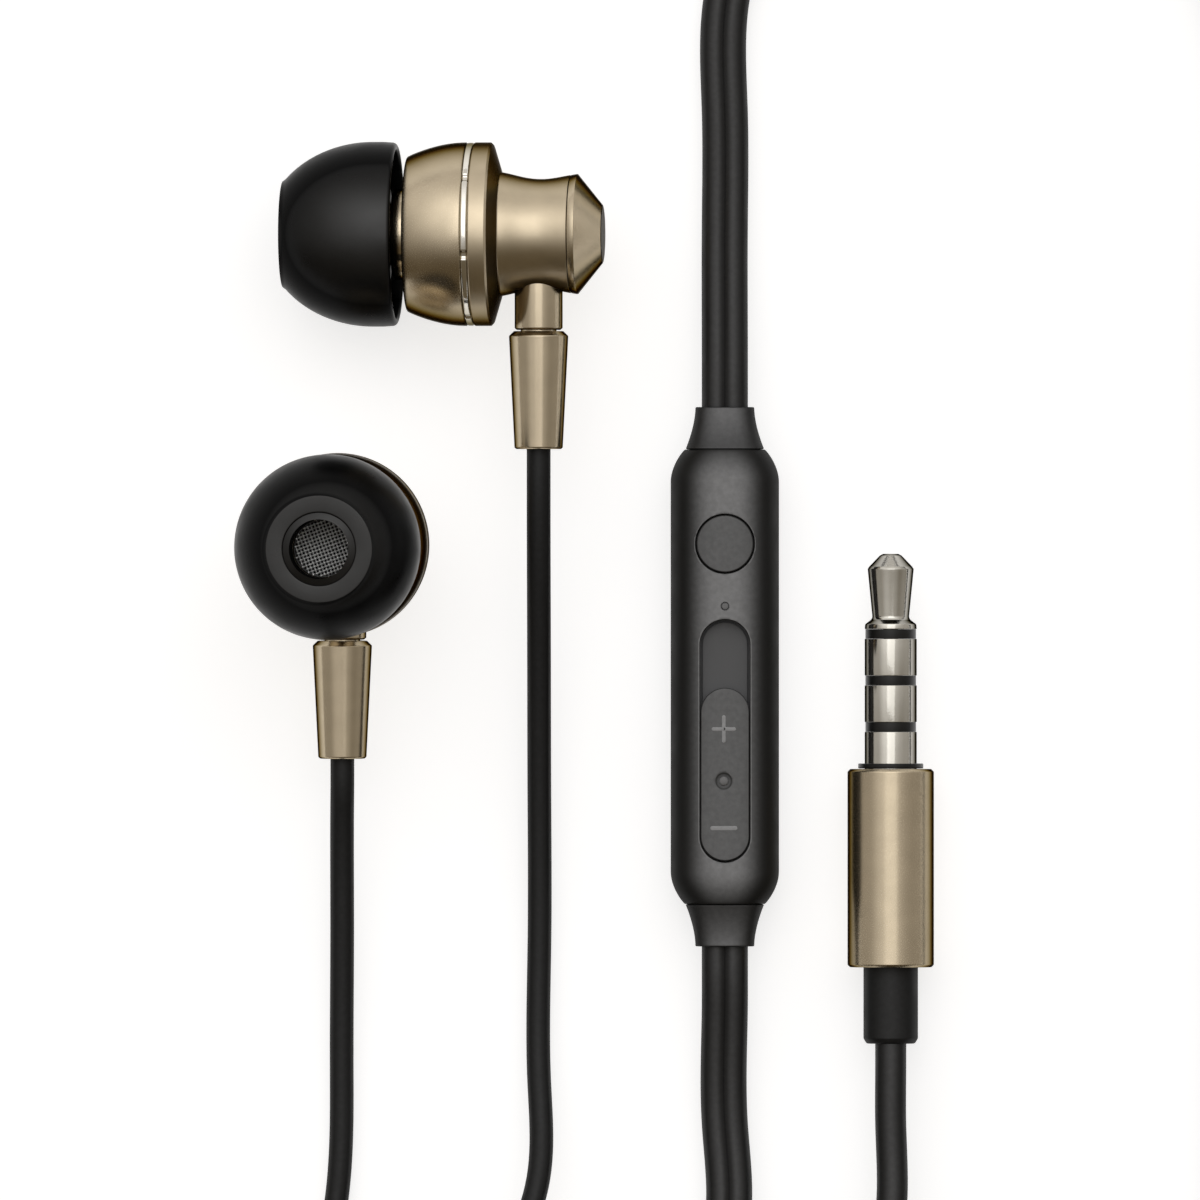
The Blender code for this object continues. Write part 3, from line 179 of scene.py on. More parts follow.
def satin_black(name, color, roughness, level=0.5, grain=0.06, depth=0.004, blotch=0.05,
                edge=None, fall=0.5, softer=0.25, recess=None, sheen=None):
    """Moulded plastic or elastomer: spark-eroded grain and a sheen that shifts slowly.

    Edge is the colour of a painted shade that it darkens to where it turns away from the eye,
    sooner with a larger fall, and softer is how much rougher it looks there. Recess is (height,
    colour): below that height the surface takes the darker colour, a painted shade in the recess.
    Sheen is (level, start, end): the specular level where it faces the eye, and the turn over which
    it falls to the plain level."""
    made = Shader(name, color)
    slow = made.noise(1.8, detail=3)
    fine = made.noise(grain, detail=3)
    dust = made.noise(0.35, detail=4)
    plain = made.blend(made.ranged(dust, 0, 1, 0.35, 0.75), *shades(color, 0.92, 1.12))
    # Painted shade: below the recess height the colour turns darker, standing in for the shade on
    # the pocket's floor.
    if recess:
        height = made.node("ShaderNodeSeparateXYZ", {"Vector": made.coordinates}).outputs["Z"]
        top, recess_shade = recess
        low = made.ranged(height, 1, 0, top * MM, (top + 0.06) * MM)
        plain = made.blend(low, plain, recess_shade)
    rough = made.ranged(slow, roughness - blotch, roughness + blotch)
    if edge:
        # Painted shade: the colour darkens to the edge colour where the surface turns away from the
        # eye.
        plain = made.blend(made.facing(fall), plain, edge)
        turned_away = made.facing()
        rough = made.combine("ADD", rough, made.ranged(turned_away, 0, softer, 0.25, 0.9))
    made.set(
        Base_Color=plain,
        Roughness=rough,
        Specular_IOR_Level=level,
        Normal=made.bump(fine, depth, 0.6),
    )
    if sheen:
        middle, start, end = sheen
        made.set(Specular_IOR_Level=made.ranged(turned_away, middle, level, start, end))
    return made.material


# The edge colours below are painted shade: what the metals darken to where they turn away from the
# eye.
GOLD = (0.60, 0.51, 0.375)
GOLD_EDGE_SHADE = (0.15, 0.113, 0.048)
NICKEL = (0.64, 0.62, 0.57)
NICKEL_EDGE_SHADE = (0.07, 0.065, 0.05)


def gold_along(name, axis, roughness=0.25, turned=0.12):
    return satin_metal(name, GOLD, roughness, GOLD_EDGE_SHADE, turned=turned, axis=axis)


# The edge colour of each metal finish here is a painted shade at its sides.
gold_boss = satin_metal("gold_boss", GOLD, 0.1, GOLD_EDGE_SHADE)
bright = satin_metal("bright", (0.86, 0.83, 0.77), 0.1, (0.5, 0.46, 0.36), 0.1)
nickel = satin_metal("nickel", NICKEL, 0.13, NICKEL_EDGE_SHADE, 0.1, 0.35)
steel_wire = satin_metal("steel_wire", grey(0.9), 0.45, grey(0.3), 0.03)
brass = satin_metal("brass", (0.70, 0.52, 0.22), 0.28, (0.3, 0.22, 0.1), turned=0.1)
# The edge colours of these finishes are painted shade where they turn away from the eye.
silicone = satin_black("silicone", (0.0105, 0.0107, 0.0115), 0.32, 0.03, 0.09, 0.003,
                       edge=grey(0.0008), fall=0.9, softer=0.0,
                       sheen=(0.5, 0.03, 0.36))
# Its recess colour is a painted shade on the pocket's floor.
body_plastic = satin_black("body_plastic", (0.238, 0.242, 0.253), 0.42, 0.12, 0.045,
                           edge=grey(0.012), fall=0.972,
                           recess=(4.71, (0.112, 0.114, 0.12)))
key_plastic = satin_black("key_plastic", (0.14, 0.143, 0.149), 0.46, 0.15, 0.07, 0.005,
                          edge=grey(0.02), fall=0.9)
relief_rubber = satin_black("relief_rubber", (0.165, 0.168, 0.177), 0.42, 0.2, 0.07,
                            edge=grey(0.004), fall=0.93)
plug_rubber = satin_black("plug_rubber", (0.0295, 0.03, 0.0315), 0.38, 0.15, 0.07,
                          edge=grey(0.001), fall=0.85)
cord_rubber = satin_black("cord_rubber", (0.0255, 0.026, 0.0275), 0.36, 0.15, 0.12, 0.005,
                          edge=grey(0.003), fall=0.85)
twin_rubber = satin_black("twin_rubber", (0.056, 0.0566, 0.0595), 0.34, 0.2, 0.12, 0.005,
                          edge=grey(0.004), fall=0.93)
dark_plastic = satin_black("dark_plastic", grey(0.006), 0.35, 0.35)
cloth_black = satin_black("cloth_black", grey(0.012), 0.7, 0.2, 0.05, 0.02)
mark_paint = satin_black("mark_paint", (0.30, 0.305, 0.32), 0.5, 0.4, 0.04)
dot_paint = satin_black("dot_paint", (0.17, 0.172, 0.18), 0.5, 0.4, 0.04)
mic_cover = satin_black("mic_cover", (0.17, 0.172, 0.18), 0.5, 0.2, 0.06, 0.002)
board_green = satin_black("board_green", (0.02, 0.10, 0.04), 0.4)
film = satin_black("film", (0.45, 0.42, 0.36), 0.3)


# ================================================================ shapes
def at(x, y, z=0):
    return Matrix.Translation((x * MM, y * MM, z * MM))


def shade(mesh, angle):
    mesh.shade_smooth()
    mesh.set_sharp_from_angle(angle=math.radians(angle))


def piece(name, mesh, material, body, nodes, matrix=None, angle=38):
    """Links a mesh, shades it, hangs it on the body that it rides on and hides the imported parts
    that it stands for.
    """
    made = bpy.data.objects.new(name, mesh)
    bpy.context.collection.objects.link(made)
    if matrix is not None:
        mesh.transform(matrix)
    if isinstance(mesh, bpy.types.Mesh):
        shade(mesh, angle)
        weighted = made.modifiers.new("weighted", "WEIGHTED_NORMAL")
        weighted.keep_sharp = True
    mesh.materials.append(material)
    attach(made, body)
    if nodes:
        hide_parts(*nodes)
    return made


def filleted(corners, steps=6):
    """Points of a path whose corners (u, v, radius) are rounded; the radius may be left out."""
    points = []
    for i, corner in enumerate(corners):
        u, v = corner[:2]
        radius = corner[2] if len(corner) > 2 else 0
        if not radius or i in (0, len(corners) - 1):
            points.append((u, v))
            continue
        here = np.array((u, v))
        back = np.array(corners[i - 1][:2]) - here
        ahead = np.array(corners[i + 1][:2]) - here
        back_length, ahead_length = np.linalg.norm(back), np.linalg.norm(ahead)
        back, ahead = back / back_length, ahead / ahead_length
        bend = math.acos(max(-1.0, min(1.0, float(back @ ahead))))
        if bend > math.pi - 0.05:
            points.append((u, v))
            continue
        run = min(radius / math.tan(bend / 2), back_length * 0.48, ahead_length * 0.48)
        fit = run * math.tan(bend / 2)
        middle = (back + ahead) / np.linalg.norm(back + ahead)
        centre = here + middle * fit / math.sin(bend / 2)
        first, last = here + back * run - centre, here + ahead * run - centre
        sweep = math.acos(max(-1.0, min(1.0, float(first @ last) / (fit * fit))))
        for t in np.linspace(0, 1, steps + 1):
            turn = first * math.sin((1 - t) * sweep) + last * math.sin(t * sweep)
            spot = centre + turn / max(math.sin(sweep), 1e-9)
            points.append((float(spot[0]), float(spot[1])))
    return points


def grid_mesh(name, rows, closed=False, caps=2, unit=MM):
    """A skin through rows of points, each row a loop.

    Closed joins the last row to the first. Caps is 2 with a cap on both ends, 1 on the first."""
    rows = np.array(rows, float) * unit
    count, around = rows.shape[:2]
    faces = []
    for i in range(count if closed else count - 1):
        low, high = i * around, ((i + 1) % count) * around
        for j in range(around):
            k = (j + 1) % around
            faces.append((low + j, low + k, high + k, high + j))
    if caps > 0:
        faces.append(tuple(range(around - 1, -1, -1)))
    if caps > 1:
        faces.append(tuple((count - 1) * around + j for j in range(around)))
    mesh = bpy.data.meshes.new(name)
    mesh.from_pydata(rows.reshape(-1, 3).tolist(), [], faces)
    return mesh


def tidy(mesh, distance=1e-8):
    """Joins points that coincide and turns the faces outwards."""
    bm = bmesh.new()
    bm.from_mesh(mesh)
    bmesh.ops.remove_doubles(bm, verts=bm.verts, dist=distance)
    bmesh.ops.dissolve_degenerate(bm, edges=bm.edges, dist=1e-9)
    bmesh.ops.recalc_face_normals(bm, faces=bm.faces)
    bm.to_mesh(mesh)
    bm.free()
    return mesh


def lathe(name, profile, sides=128, shape=None):
    """A profile of (radius, height) points turned about Z; shape(angles, radius) may bend it."""
    closed = profile[0][0] > 0 or profile[-1][0] > 0
    angles = np.linspace(0, 2 * math.pi, sides, endpoint=False)
    rows = []
    for radius, height in profile:
        reach = shape(angles, radius) if shape else np.full(sides, radius)
        rows.append(np.stack([reach * np.cos(angles), reach * np.sin(angles),
                              np.full(sides, height)], axis=1))
    return tidy(grid_mesh(name, rows, closed, caps=0))


def turned(name, corners, material, matrix, nodes, slot, body="root", sides=128, shape=None):
    mesh = lathe(name, filleted(corners), sides, shape)
    return piece(name, mesh, material, body, nodes, matrix)


def box_mesh(name, low, high):
    corners = [(x * MM, y * MM, z * MM) for x in (low[0], high[0]) for y in (low[1], high[1])
               for z in (low[2], high[2])]
    mesh = bpy.data.meshes.new(name)
    mesh.from_pydata(corners, [], [(0, 1, 3, 2), (4, 6, 7, 5), (0, 4, 5, 1), (2, 3, 7, 6),
                                   (0, 2, 6, 4), (1, 5, 7, 3)])
    return tidy(mesh)


def carve(made, *cutters):
    """Cuts the meshes out of the piece and keeps the result as its mesh."""
    helpers = []
    for mesh in cutters:
        helper = bpy.data.objects.new("cutter", mesh)
        bpy.context.collection.objects.link(helper)
        cut = made.modifiers.new("cut", "BOOLEAN")
        cut.operation = "DIFFERENCE"
        cut.solver = "EXACT"
        cut.object = helper
        helpers.append(helper)
    bpy.context.view_layer.update()
    graph = bpy.context.evaluated_depsgraph_get()
    result = bpy.data.meshes.new_from_object(made.evaluated_get(graph))
    for modifier in [m for m in made.modifiers if m.type == "BOOLEAN"]:
        made.modifiers.remove(modifier)
    made.data = result
    for helper in helpers:
        bpy.data.objects.remove(helper, do_unlink=True)
    shade(made.data, 30)


def smooth_step(share):
    return share * share * (3 - 2 * share)


# ================================================================ earpieces
# Heights along the housing's axis, from the stem's axis up to the ear.
CAP_FACE = -4.34
CAP_FRONT = -2.15
SHOULDER_REAR = 2.48
SHOULDER_FRONT = 3.03
RING_REAR = 4.26
RING_FRONT = 4.76
SHELL_FACE = 8.81
TIP_REAR = 9.49
BOSS_FACE = 9.76
TIP_WIDEST = 11.12
NOZZLE_FACE = 14.36
TIP_FACE = 17.22
# Radii.
CAP_FACE_RADIUS = 1.92
NOZZLE_BORE = 1.4
MESH_SEAT = 1.98
NOZZLE = 2.05
LIP = 2.38
BOSS = 3.06
TIP_STEM = 3.3
TIP_FACE_RADIUS = 3.6
SHELL_FACE_RADIUS = 5.18
HOUSING = 6.15
TIP = 6.21

HOUSING_WALL = 0.7
TIP_WALL = 0.5
SEAM = 0.08
LEAN = math.radians(4.8)
LEFT_LEAN = math.radians(1.3)
NOTCHES = 7
NOTCH_PHASE = math.radians(-13.8)
NOTCH_DEPTH = 0.16


def right_matrix():
    """On its side, with its tip's widest ring on the floor."""
    height = TIP * math.cos(LEAN) + TIP_WIDEST * math.sin(LEAN)
    return at(-12.49, 29.66, height) @ Matrix.Rotation(-QUARTER - LEAN, 4, "Y")


def left_matrix():
    """On its end cap, with its tip towards the eye."""
    turn = Matrix.Rotation(LEFT_LEAN, 4, "X") @ Matrix.Rotation(-LEAN, 4, "Y")
    upward = turn @ Vector((0, 0, 1))
    rim = CAP_FACE_RADIUS * math.sqrt(1 - upward.z**2)
    return at(-25.66, 8.92, -CAP_FACE * upward.z + rim + 0.05) @ turn


def ear_tip(side, matrix):
    start = math.acos(TIP_FACE_RADIUS / TIP)
    widest = TIP - 0.015
    reach = (TIP_FACE - TIP_WIDEST) / math.sin(start)
    dome = []
    for step in range(1, 41):
        angle = start * (1 - step / 40)
        dome.append((widest * math.cos(angle), TIP_WIDEST + reach * math.sin(angle) * 0.98))
    inside = []
    for step in range(25):
        angle = start * 1.28 * step / 24
        inside.append(((TIP - TIP_WALL) * math.cos(angle) + 0.02,
                       TIP_WIDEST + (reach - 0.9) * math.sin(angle)))
    corners = [
        (MESH_SEAT, NOZZLE_FACE + 0.22),
        (MESH_SEAT, NOZZLE_FACE + 0.5, 0.2),
        (2.42, NOZZLE_FACE + 1.3, 0.4),
        (2.42, TIP_FACE, 0.12),
        (3.56, TIP_FACE - 0.01, 0.08),
        *dome,
        (widest, TIP_REAR + 0.9),
        (widest - 0.06, TIP_REAR + 0.06, 0.3),
        (TIP - TIP_WALL - 0.06, TIP_REAR, 0.16),
        (TIP - TIP_WALL - 0.02, TIP_REAR + 0.9),
        *inside,
        (TIP_STEM, inside[-1][1] - 0.5, 0.5),
        (TIP_STEM, BOSS_FACE + 0.3, 0.12),
        (2.35, BOSS_FACE + 0.3, 0.1),
        (2.35, NOZZLE_FACE - 1.3),
        (2.68, NOZZLE_FACE - 1.3),
        (2.68, NOZZLE_FACE + 0.22),
    ]
    turned(side + "_tip", corners, silicone, matrix, [side + "_ear_tip"], "black_silicone",
           sides=160)


def front_shell(side, matrix, gold):
    rear = RING_FRONT + SEAM / 2
    swell, length = HOUSING - SHELL_FACE_RADIUS, SHELL_FACE - rear
    crown = []
    for step in range(1, 33):
        run = step / 32
        crown.append((SHELL_FACE_RADIUS + swell * math.sin(run * QUARTER) ** 0.87,
                      SHELL_FACE - length * run * 0.985))
    corners = [
        (NOZZLE_BORE, NOZZLE_FACE - 0.5),
        (MESH_SEAT, NOZZLE_FACE - 0.5),
        (MESH_SEAT, NOZZLE_FACE, 0.08),
        (LIP, NOZZLE_FACE, 0.12),
        (LIP, NOZZLE_FACE - 1.0, 0.1),
        (NOZZLE, NOZZLE_FACE - 1.0, 0.05),
        (NOZZLE, BOSS_FACE - 0.4),
        (2.6, BOSS_FACE - 0.4),
        (2.6, SHELL_FACE),
        (SHELL_FACE_RADIUS, SHELL_FACE, 0.14),
        *crown,
        (HOUSING - 0.05, rear),
        (HOUSING - HOUSING_WALL, rear),
        (4.4, SHELL_FACE - HOUSING_WALL),
        (NOZZLE_BORE, SHELL_FACE - HOUSING_WALL),
    ]
    turned(side + "_front", corners, gold, matrix, [side + "_front_shell"],
           "champagne_aluminium", sides=160)
    boss = [
        (NOZZLE + 0.01, BOSS_FACE - 0.35),
        (NOZZLE + 0.01, BOSS_FACE),
        (BOSS - 0.16, BOSS_FACE, 0.04),
        (BOSS, BOSS_FACE - 0.16, 0.04),
        (BOSS, SHELL_FACE + 0.02),
        (2.62, SHELL_FACE + 0.02),
        (2.62, BOSS_FACE - 0.35),
    ]
    turned(side + "_boss", boss, gold_boss, matrix, [], "champagne_aluminium")


def trim_ring(side, matrix):
    """A polished bead in the joint, cut by small notches."""
    pitch = 2 * math.pi / NOTCHES

    def notched(angles, radius):
        near = (angles - NOTCH_PHASE + pitch / 2) % pitch - pitch / 2
        share = smooth_step(np.clip(1.6 - np.abs(near) / math.radians(2.0), 0, 1))
        return radius - share * NOTCH_DEPTH * (radius > HOUSING - 0.3)

    front, rear = RING_FRONT + SEAM * 0.4, RING_REAR + SEAM * 0.6
    corners = [
        (HOUSING - HOUSING_WALL, front),
        (HOUSING - 0.1, front, 0.04),
        (HOUSING - 0.01, front - 0.1, 0.1),
        (HOUSING - 0.01, rear + 0.1, 0.1),
        (HOUSING - 0.1, rear, 0.04),
        (HOUSING - HOUSING_WALL, rear),
    ]
    turned(side + "_trim", corners, bright, matrix, [side + "_trim_ring"], "polished_trim",
           sides=720, shape=notched)


def rear_shell(side, matrix, gold):
    heights, radii = [-2.15, -1.18, 0.0, 1.24, 2.48], [3.955, 3.78, 3.69, 3.87, 4.15]
    curve = np.polyfit(heights, radii, 4)
    waist = []
    for step in range(1, 32):
        height = SHOULDER_REAR + (CAP_FRONT - SHOULDER_REAR) * step / 32
        waist.append((float(np.polyval(curve, height)), height))
    corners = [
        (HOUSING - HOUSING_WALL, RING_REAR + SEAM * 0.4),
        (HOUSING - 0.05, RING_REAR + SEAM * 0.4, 0.04),
        (HOUSING, RING_REAR - 0.04, 0.05),
        (HOUSING, SHOULDER_FRONT + 0.16, 0.05),
        (HOUSING - 0.14, SHOULDER_FRONT + 0.02, 0.05),
        (4.15, SHOULDER_REAR, 0.14),
        *waist,
        (3.955, CAP_FRONT + 0.03),
        (3.93, CAP_FRONT),
        (2.99, CAP_FRONT),
        (2.99, SHOULDER_REAR),
        (HOUSING - HOUSING_WALL, SHOULDER_FRONT + 0.1),
    ]
    turned(side + "_rear", corners, gold, matrix, [side + "_rear_shell"],
           "champagne_aluminium", sides=160)


def end_cap(side, matrix, gold):
    front = CAP_FRONT - SEAM * 0.6
    corners = [
        (0, CAP_FRONT + 0.6),
        (2.69, CAP_FRONT + 0.6),
        (2.69, front),
        (3.935, front, 0.01),
        (3.965, front - 0.03),
        (4.035, CAP_FRONT - SEAM - 0.4, 0.06),
        (1.95, CAP_FACE + 0.03, 0.1),
        (1.78, CAP_FACE, 0.08),
        (0, CAP_FACE),
    ]
    turned(side + "_cap", corners, gold, matrix, [side + "_end_cap"],
           "champagne_aluminium", sides=160)


def stem(side, matrix, gold):
    """The tube and its sleeve; heights are from the housing's axis."""
    turn = matrix @ Matrix.Rotation(QUARTER, 4, "X")
    tube = [
        (0.9, 2.6),
        (1.61, 2.6),
        (1.61, 6.3, 0.1),
        (1.46, 6.42, 0.04),
        (1.2, 6.42),
        (1.2, 7.4),
        (0.9, 7.4),
    ]
    turned(side + "_stem", tube, gold, turn, [side + "_stem_tube"],
           "champagne_aluminium", sides=96)
    sleeve = [
        (1.35, 6.5),
        (1.66, 6.5, 0.05),
        (1.99, 6.82, 0.12),
        (1.62, 14.3, 0.12),
        (1.5, 14.4, 0.06),
        (0.95, 14.4, 0.1),
        (0.9, 14.0),
        (0.9, 7.7),
        (1.35, 7.7),
    ]
    turned(side + "_sleeve", sleeve, gold, turn, [side + "_stem_sleeve"],
           "champagne_aluminium", sides=96)


def grille(side, matrix):
    """Woven wire over the nozzle, each wire passing over and under the next."""
    radius, pitch, wire, sag = 1.9 * MM, 0.24 * MM, 0.075 * MM, 0.06 * MM
    wire_sides = 6
    top = NOZZLE_FACE - 0.16
    verts, faces = [], []
    ring = [(math.cos(a), math.sin(a))
            for a in np.linspace(0, 2 * math.pi, wire_sides, endpoint=False)]
    count = int(radius / pitch)
    for way in (0, 1):
        for index in range(-count, count + 1):
            offset = index * pitch
            half = math.sqrt(max(radius**2 - offset**2, 0))
            steps = max(int(2 * half / (pitch / 6)), 4)
            first = len(verts)
            for step in range(steps + 1):
                along = -half + 2 * half * step / steps
                lift = sag * math.cos(math.pi * along / pitch) * (-1) ** (index + way)
                for c, s in ring:
                    spot = [0.0, 0.0, top * MM + lift + wire * s]
                    spot[way] = along
                    spot[1 - way] = offset + wire * c
                    verts.append(tuple(spot))
            for step in range(steps):
                low = first + step * wire_sides
                for k in range(wire_sides):
                    a, b = low + k, low + (k + 1) % wire_sides
                    faces.append((a, b, b + wire_sides, a + wire_sides))
    mesh = bpy.data.meshes.new(side + "_grille")
    mesh.from_pydata(verts, [], faces)
    turn = matrix @ Matrix.Rotation(math.radians(20), 4, "Z")
    piece(side + "_grille", tidy(mesh, 1e-9), steel_wire, "root", [side + "_nozzle_mesh"],
          turn, 80)
    rim = [(1.82, top - 0.12), (1.82, top + 0.1, 0.05), (1.97, top + 0.12, 0.05),
           (1.97, top - 0.12)]
    turned(side + "_grille_rim", rim, dark_plastic, matrix, [], "woven_steel", sides=96)
    backing = [(0, top - 0.15), (1.95, top - 0.15), (1.95, top - 0.22), (0, top - 0.22)]
    turned(side + "_damping_cloth", backing, cloth_black, matrix, [], "woven_steel", sides=48)


def earpiece(side, matrix):
    gold = gold_along(side + "_gold", matrix)
    matt = gold_along(side + "_gold_matt", matrix, 0.33)
    along_stem = matrix @ Matrix.Rotation(QUARTER, 4, "X")
    smooth = gold_along(side + "_gold_stem", along_stem, 0.2, 0.2)
    ear_tip(side, matrix)
    front_shell(side, matrix, gold)
    trim_ring(side, matrix)
    rear_shell(side, matrix, matt)
    end_cap(side, matrix, gold)
    stem(side, matrix, smooth)
    grille(side, matrix)


# ================================================================ remote
HALF_LENGTH = 15.25
REMOTE_WIDTH = 7.27
END_WIDTH = 5.34
END_DROP = 0.5
SHOULDER = 2.2
THICKNESS = 5.5
PARTING = 2.6
CROWN_POWER = 2.5
BACK_ROUND = 1.4
SEAM_EDGE = 0.06
CAVITY = (2.735, 13.25)
CEILING = 4.0
POCKET_LOW = -12.42
POCKET_LENGTH = 16.25
POCKET_WIDTH = 3.35
POCKET_FLOOR = 4.7
GROOVE_WIDTH = 0.19
GROOVE_DEPTH = 0.28
ROUNDING = 0.1
BUTTON_HOLE = 1.98
BUTTON_Y = 8.92
MIC_HOLE = 0.3
MIC_Y = 4.73
SLIT = (0.6, -7.14, -1.35)
RELIEF_LENGTH = 2.7
# Width, height and height of the centre above the floor, at the body and at the cord.
RELIEF_WIDE = (5.24, 4.3, 2.75)
RELIEF_NARROW = (3.96, 2.9, 2.6)


def shoulder_share(y):
    run = np.minimum((HALF_LENGTH - np.abs(y)) / SHOULDER, 1.0)
    return np.maximum(np.sin(run * QUARTER), 0.0) ** 0.8


def half_width(y):
    return (END_WIDTH + (REMOTE_WIDTH - END_WIDTH) * shoulder_share(y)) / 2


def front_rise(y):
    """From the parting line up to the crown's ridge."""
    return THICKNESS - PARTING - END_DROP * (1 - shoulder_share(y))


def front_height(x, y):
    """The front's height above the floor, over the body's outline."""
    across = np.clip(np.abs(x) / half_width(y), 0, 1)
    return PARTING + front_rise(y) * (1 - across**CROWN_POWER) ** (1 / CROWN_POWER)


def stations():
    ends = [HALF_LENGTH - SHOULDER * (1 - math.cos(QUARTER * t)) for t in np.linspace(0, 1, 28)]
    middle = np.linspace(-ends[-1], ends[-1], 120)[1:-1]
    return [-y for y in ends] + list(middle) + list(reversed(ends))


def front_section(y):
    width, rise = float(half_width(y)), float(front_rise(y))
    points = [(-width + SEAM_EDGE, y, PARTING + SEAM / 2)]
    power = 2 / CROWN_POWER
    for angle in np.linspace(0.02, math.pi - 0.02, 73):
        c, s = math.cos(angle), math.sin(angle)
        x = -width * math.copysign(abs(c) ** power, c)
        points.append((x, y, PARTING + SEAM / 2 + (rise - SEAM / 2) * abs(s) ** power))
    points.append((width - SEAM_EDGE, y, PARTING + SEAM / 2))
    return points


def back_section(y):
    width = float(half_width(y))
    low = END_DROP * (1 - float(shoulder_share(y)))
    top = PARTING - SEAM / 2
    points = [(width - SEAM_EDGE, y, top), (width, y, top - SEAM_EDGE)]
    for angle in np.linspace(0, QUARTER, 12):
        points.append((width - BACK_ROUND * (1 - math.cos(angle)), y,
                       low + BACK_ROUND * (1 - math.sin(angle))))
    return points + [(-x, y, z) for x, _, z in reversed(points)]


def outline(length, width, centre_y, steps=28, straight=1):
    """Points of a slot's outline with their outward directions."""
    made = []
    radius = width / 2
    run = length - width
    for side in (1, -1):
        for step in range(steps + 1):
            angle = math.pi * step / steps
            c, s = side * math.cos(angle), side * math.sin(angle)
            made.append((radius * c, centre_y + side * run / 2 + radius * s, c, s))
        for step in range(1, straight):
            made.append((-side * radius, centre_y + side * run * (0.5 - step / straight), -side, 0))
    return made


def flared(name, points, floor):
    """A cutter whose walls turn out over the crowned front in a small round.

    It crosses the front at a slant and not along it, which keeps the cut clean."""
    steps = [(1 - math.cos(a), math.sin(a) - 0.87) for a in np.radians((0, 14, 28, 42, 55, 68, 80))]
    rows = [[(x, y, floor) for x, y, _, _ in points]]
    for out, lift in steps:
        row = []
        for x, y, c, s in points:
            px, py = x + c * out * ROUNDING, y + s * out * ROUNDING
            row.append((px, py, float(front_height(px, py)) + lift * ROUNDING))
        rows.append(row)
    rows.append([(x, y, THICKNESS + 0.6) for x, y, _ in rows[-1]])
    return tidy(grid_mesh(name, rows))


def groove(name, points):
    """A cutter for a moat along the inside of the pocket's outline."""
    top, floor = POCKET_FLOOR + 0.04, POCKET_FLOOR - GROOVE_DEPTH
    rows = []
    for out, height in ((-0.02, floor), (-0.02, top), (-GROOVE_WIDTH, top), (-GROOVE_WIDTH, floor)):
        rows.append([(x + c * out, y + s * out, height) for x, y, c, s in points])
    return tidy(grid_mesh(name, rows, closed=True, caps=0))


def remote_shell(name, section, *cutters):
    mesh = tidy(grid_mesh(name, [section(y) for y in stations()]))
    made = piece(name, mesh, body_plastic, "root", [name + "_shell"],
                 angle=30)
    carve(made, *cutters)


def remote_shells():
    pocket = outline(POCKET_LENGTH, POCKET_WIDTH, POCKET_LOW + POCKET_LENGTH / 2)
    button = outline(2 * BUTTON_HOLE, 2 * BUTTON_HOLE, BUTTON_Y)
    hole = outline(2 * MIC_HOLE, 2 * MIC_HOLE, MIC_Y + 0.003, 24)
    wide, long = CAVITY
    slit_half, slit_low, slit_high = SLIT
    remote_shell(
        "remote_front", front_section,
        box_mesh("cavity", (-wide, -long, PARTING - 0.3), (wide, long, CEILING)),
        flared("pocket", pocket, POCKET_FLOOR),
        groove("pocket_groove", pocket),
        flared("button_hole", button, CEILING - 0.2),
        grid_mesh("mic_hole", [[(x, y, z) for x, y, _, _ in hole] for z in (3.8, 6.1)]),
        box_mesh("slit", (-slit_half, slit_low, CEILING - 0.2),
                 (slit_half, slit_high, POCKET_FLOOR + 0.2)),
    )
    cloth = [(0, 5.47), (0.22, 5.45, 0.05), (0.24, 5.34), (0.298, 5.34), (0.298, 5.1), (0, 5.1)]
    turned("mic_cloth", cloth, mic_cover, at(0, MIC_Y), [], "satin_black_plastic", sides=32)
    remote_shell("remote_back", back_section,
                 box_mesh("back_cavity", (-wide, -long, 0.9), (wide, long, PARTING + 0.3)))


def oval(width, height, centre_z, y, power, count=72):
    points = []
    for step in range(count):
        angle = 2 * math.pi * (step + 0.5) / count
        c, s = math.cos(angle), math.sin(angle)
        points.append((
            width / 2 * math.copysign(abs(c) ** (2 / power), c),
            y,
            centre_z + height / 2 * math.copysign(abs(s) ** (2 / power), s),
        ))
    return points


def remote_relief(name, node, sign):
    """A sleeve that narrows from the body's end to the cord."""
    start = sign * (HALF_LENGTH + 0.01)
    last = sign * (HALF_LENGTH + SEAM + RELIEF_LENGTH)
    width, height, centre = RELIEF_WIDE
    end_width, end_height, end_centre = RELIEF_NARROW
    rows = []
    for inset, out in ((0.16, 0.0), (0.07, 0.01), (0.0, 0.06)):
        rows.append(oval(width - 2 * inset, height - 2 * inset, centre, start + sign * out, 3.2))
    for step in range(30):
        run = 0.03 + 0.97 * step / 29
        ease = (1 - run) ** 1.7
        rows.append(oval(end_width + (width - end_width) * ease,
                         end_height + (height - end_height) * ease,
                         end_centre + (centre - end_centre) * ease,
                         sign * (HALF_LENGTH + SEAM + RELIEF_LENGTH * run), 3.2 - 0.8 * run))
    for inset, out in ((0.02, 0.04), (0.06, 0.065), (0.14, 0.07)):
        rows.append(oval(end_width - 2 * inset, end_height - 2 * inset, end_centre,
                         last + sign * out, 2.4))
    rows.append(oval(3.2, 2.2, end_centre, last + sign * 0.07, 2.2))
    rows.append(oval(3.0, 2.0, end_centre, last - sign * 0.4, 2.2))
    piece(name, tidy(grid_mesh(name, rows)), relief_rubber, "root", [node],
          angle=50)


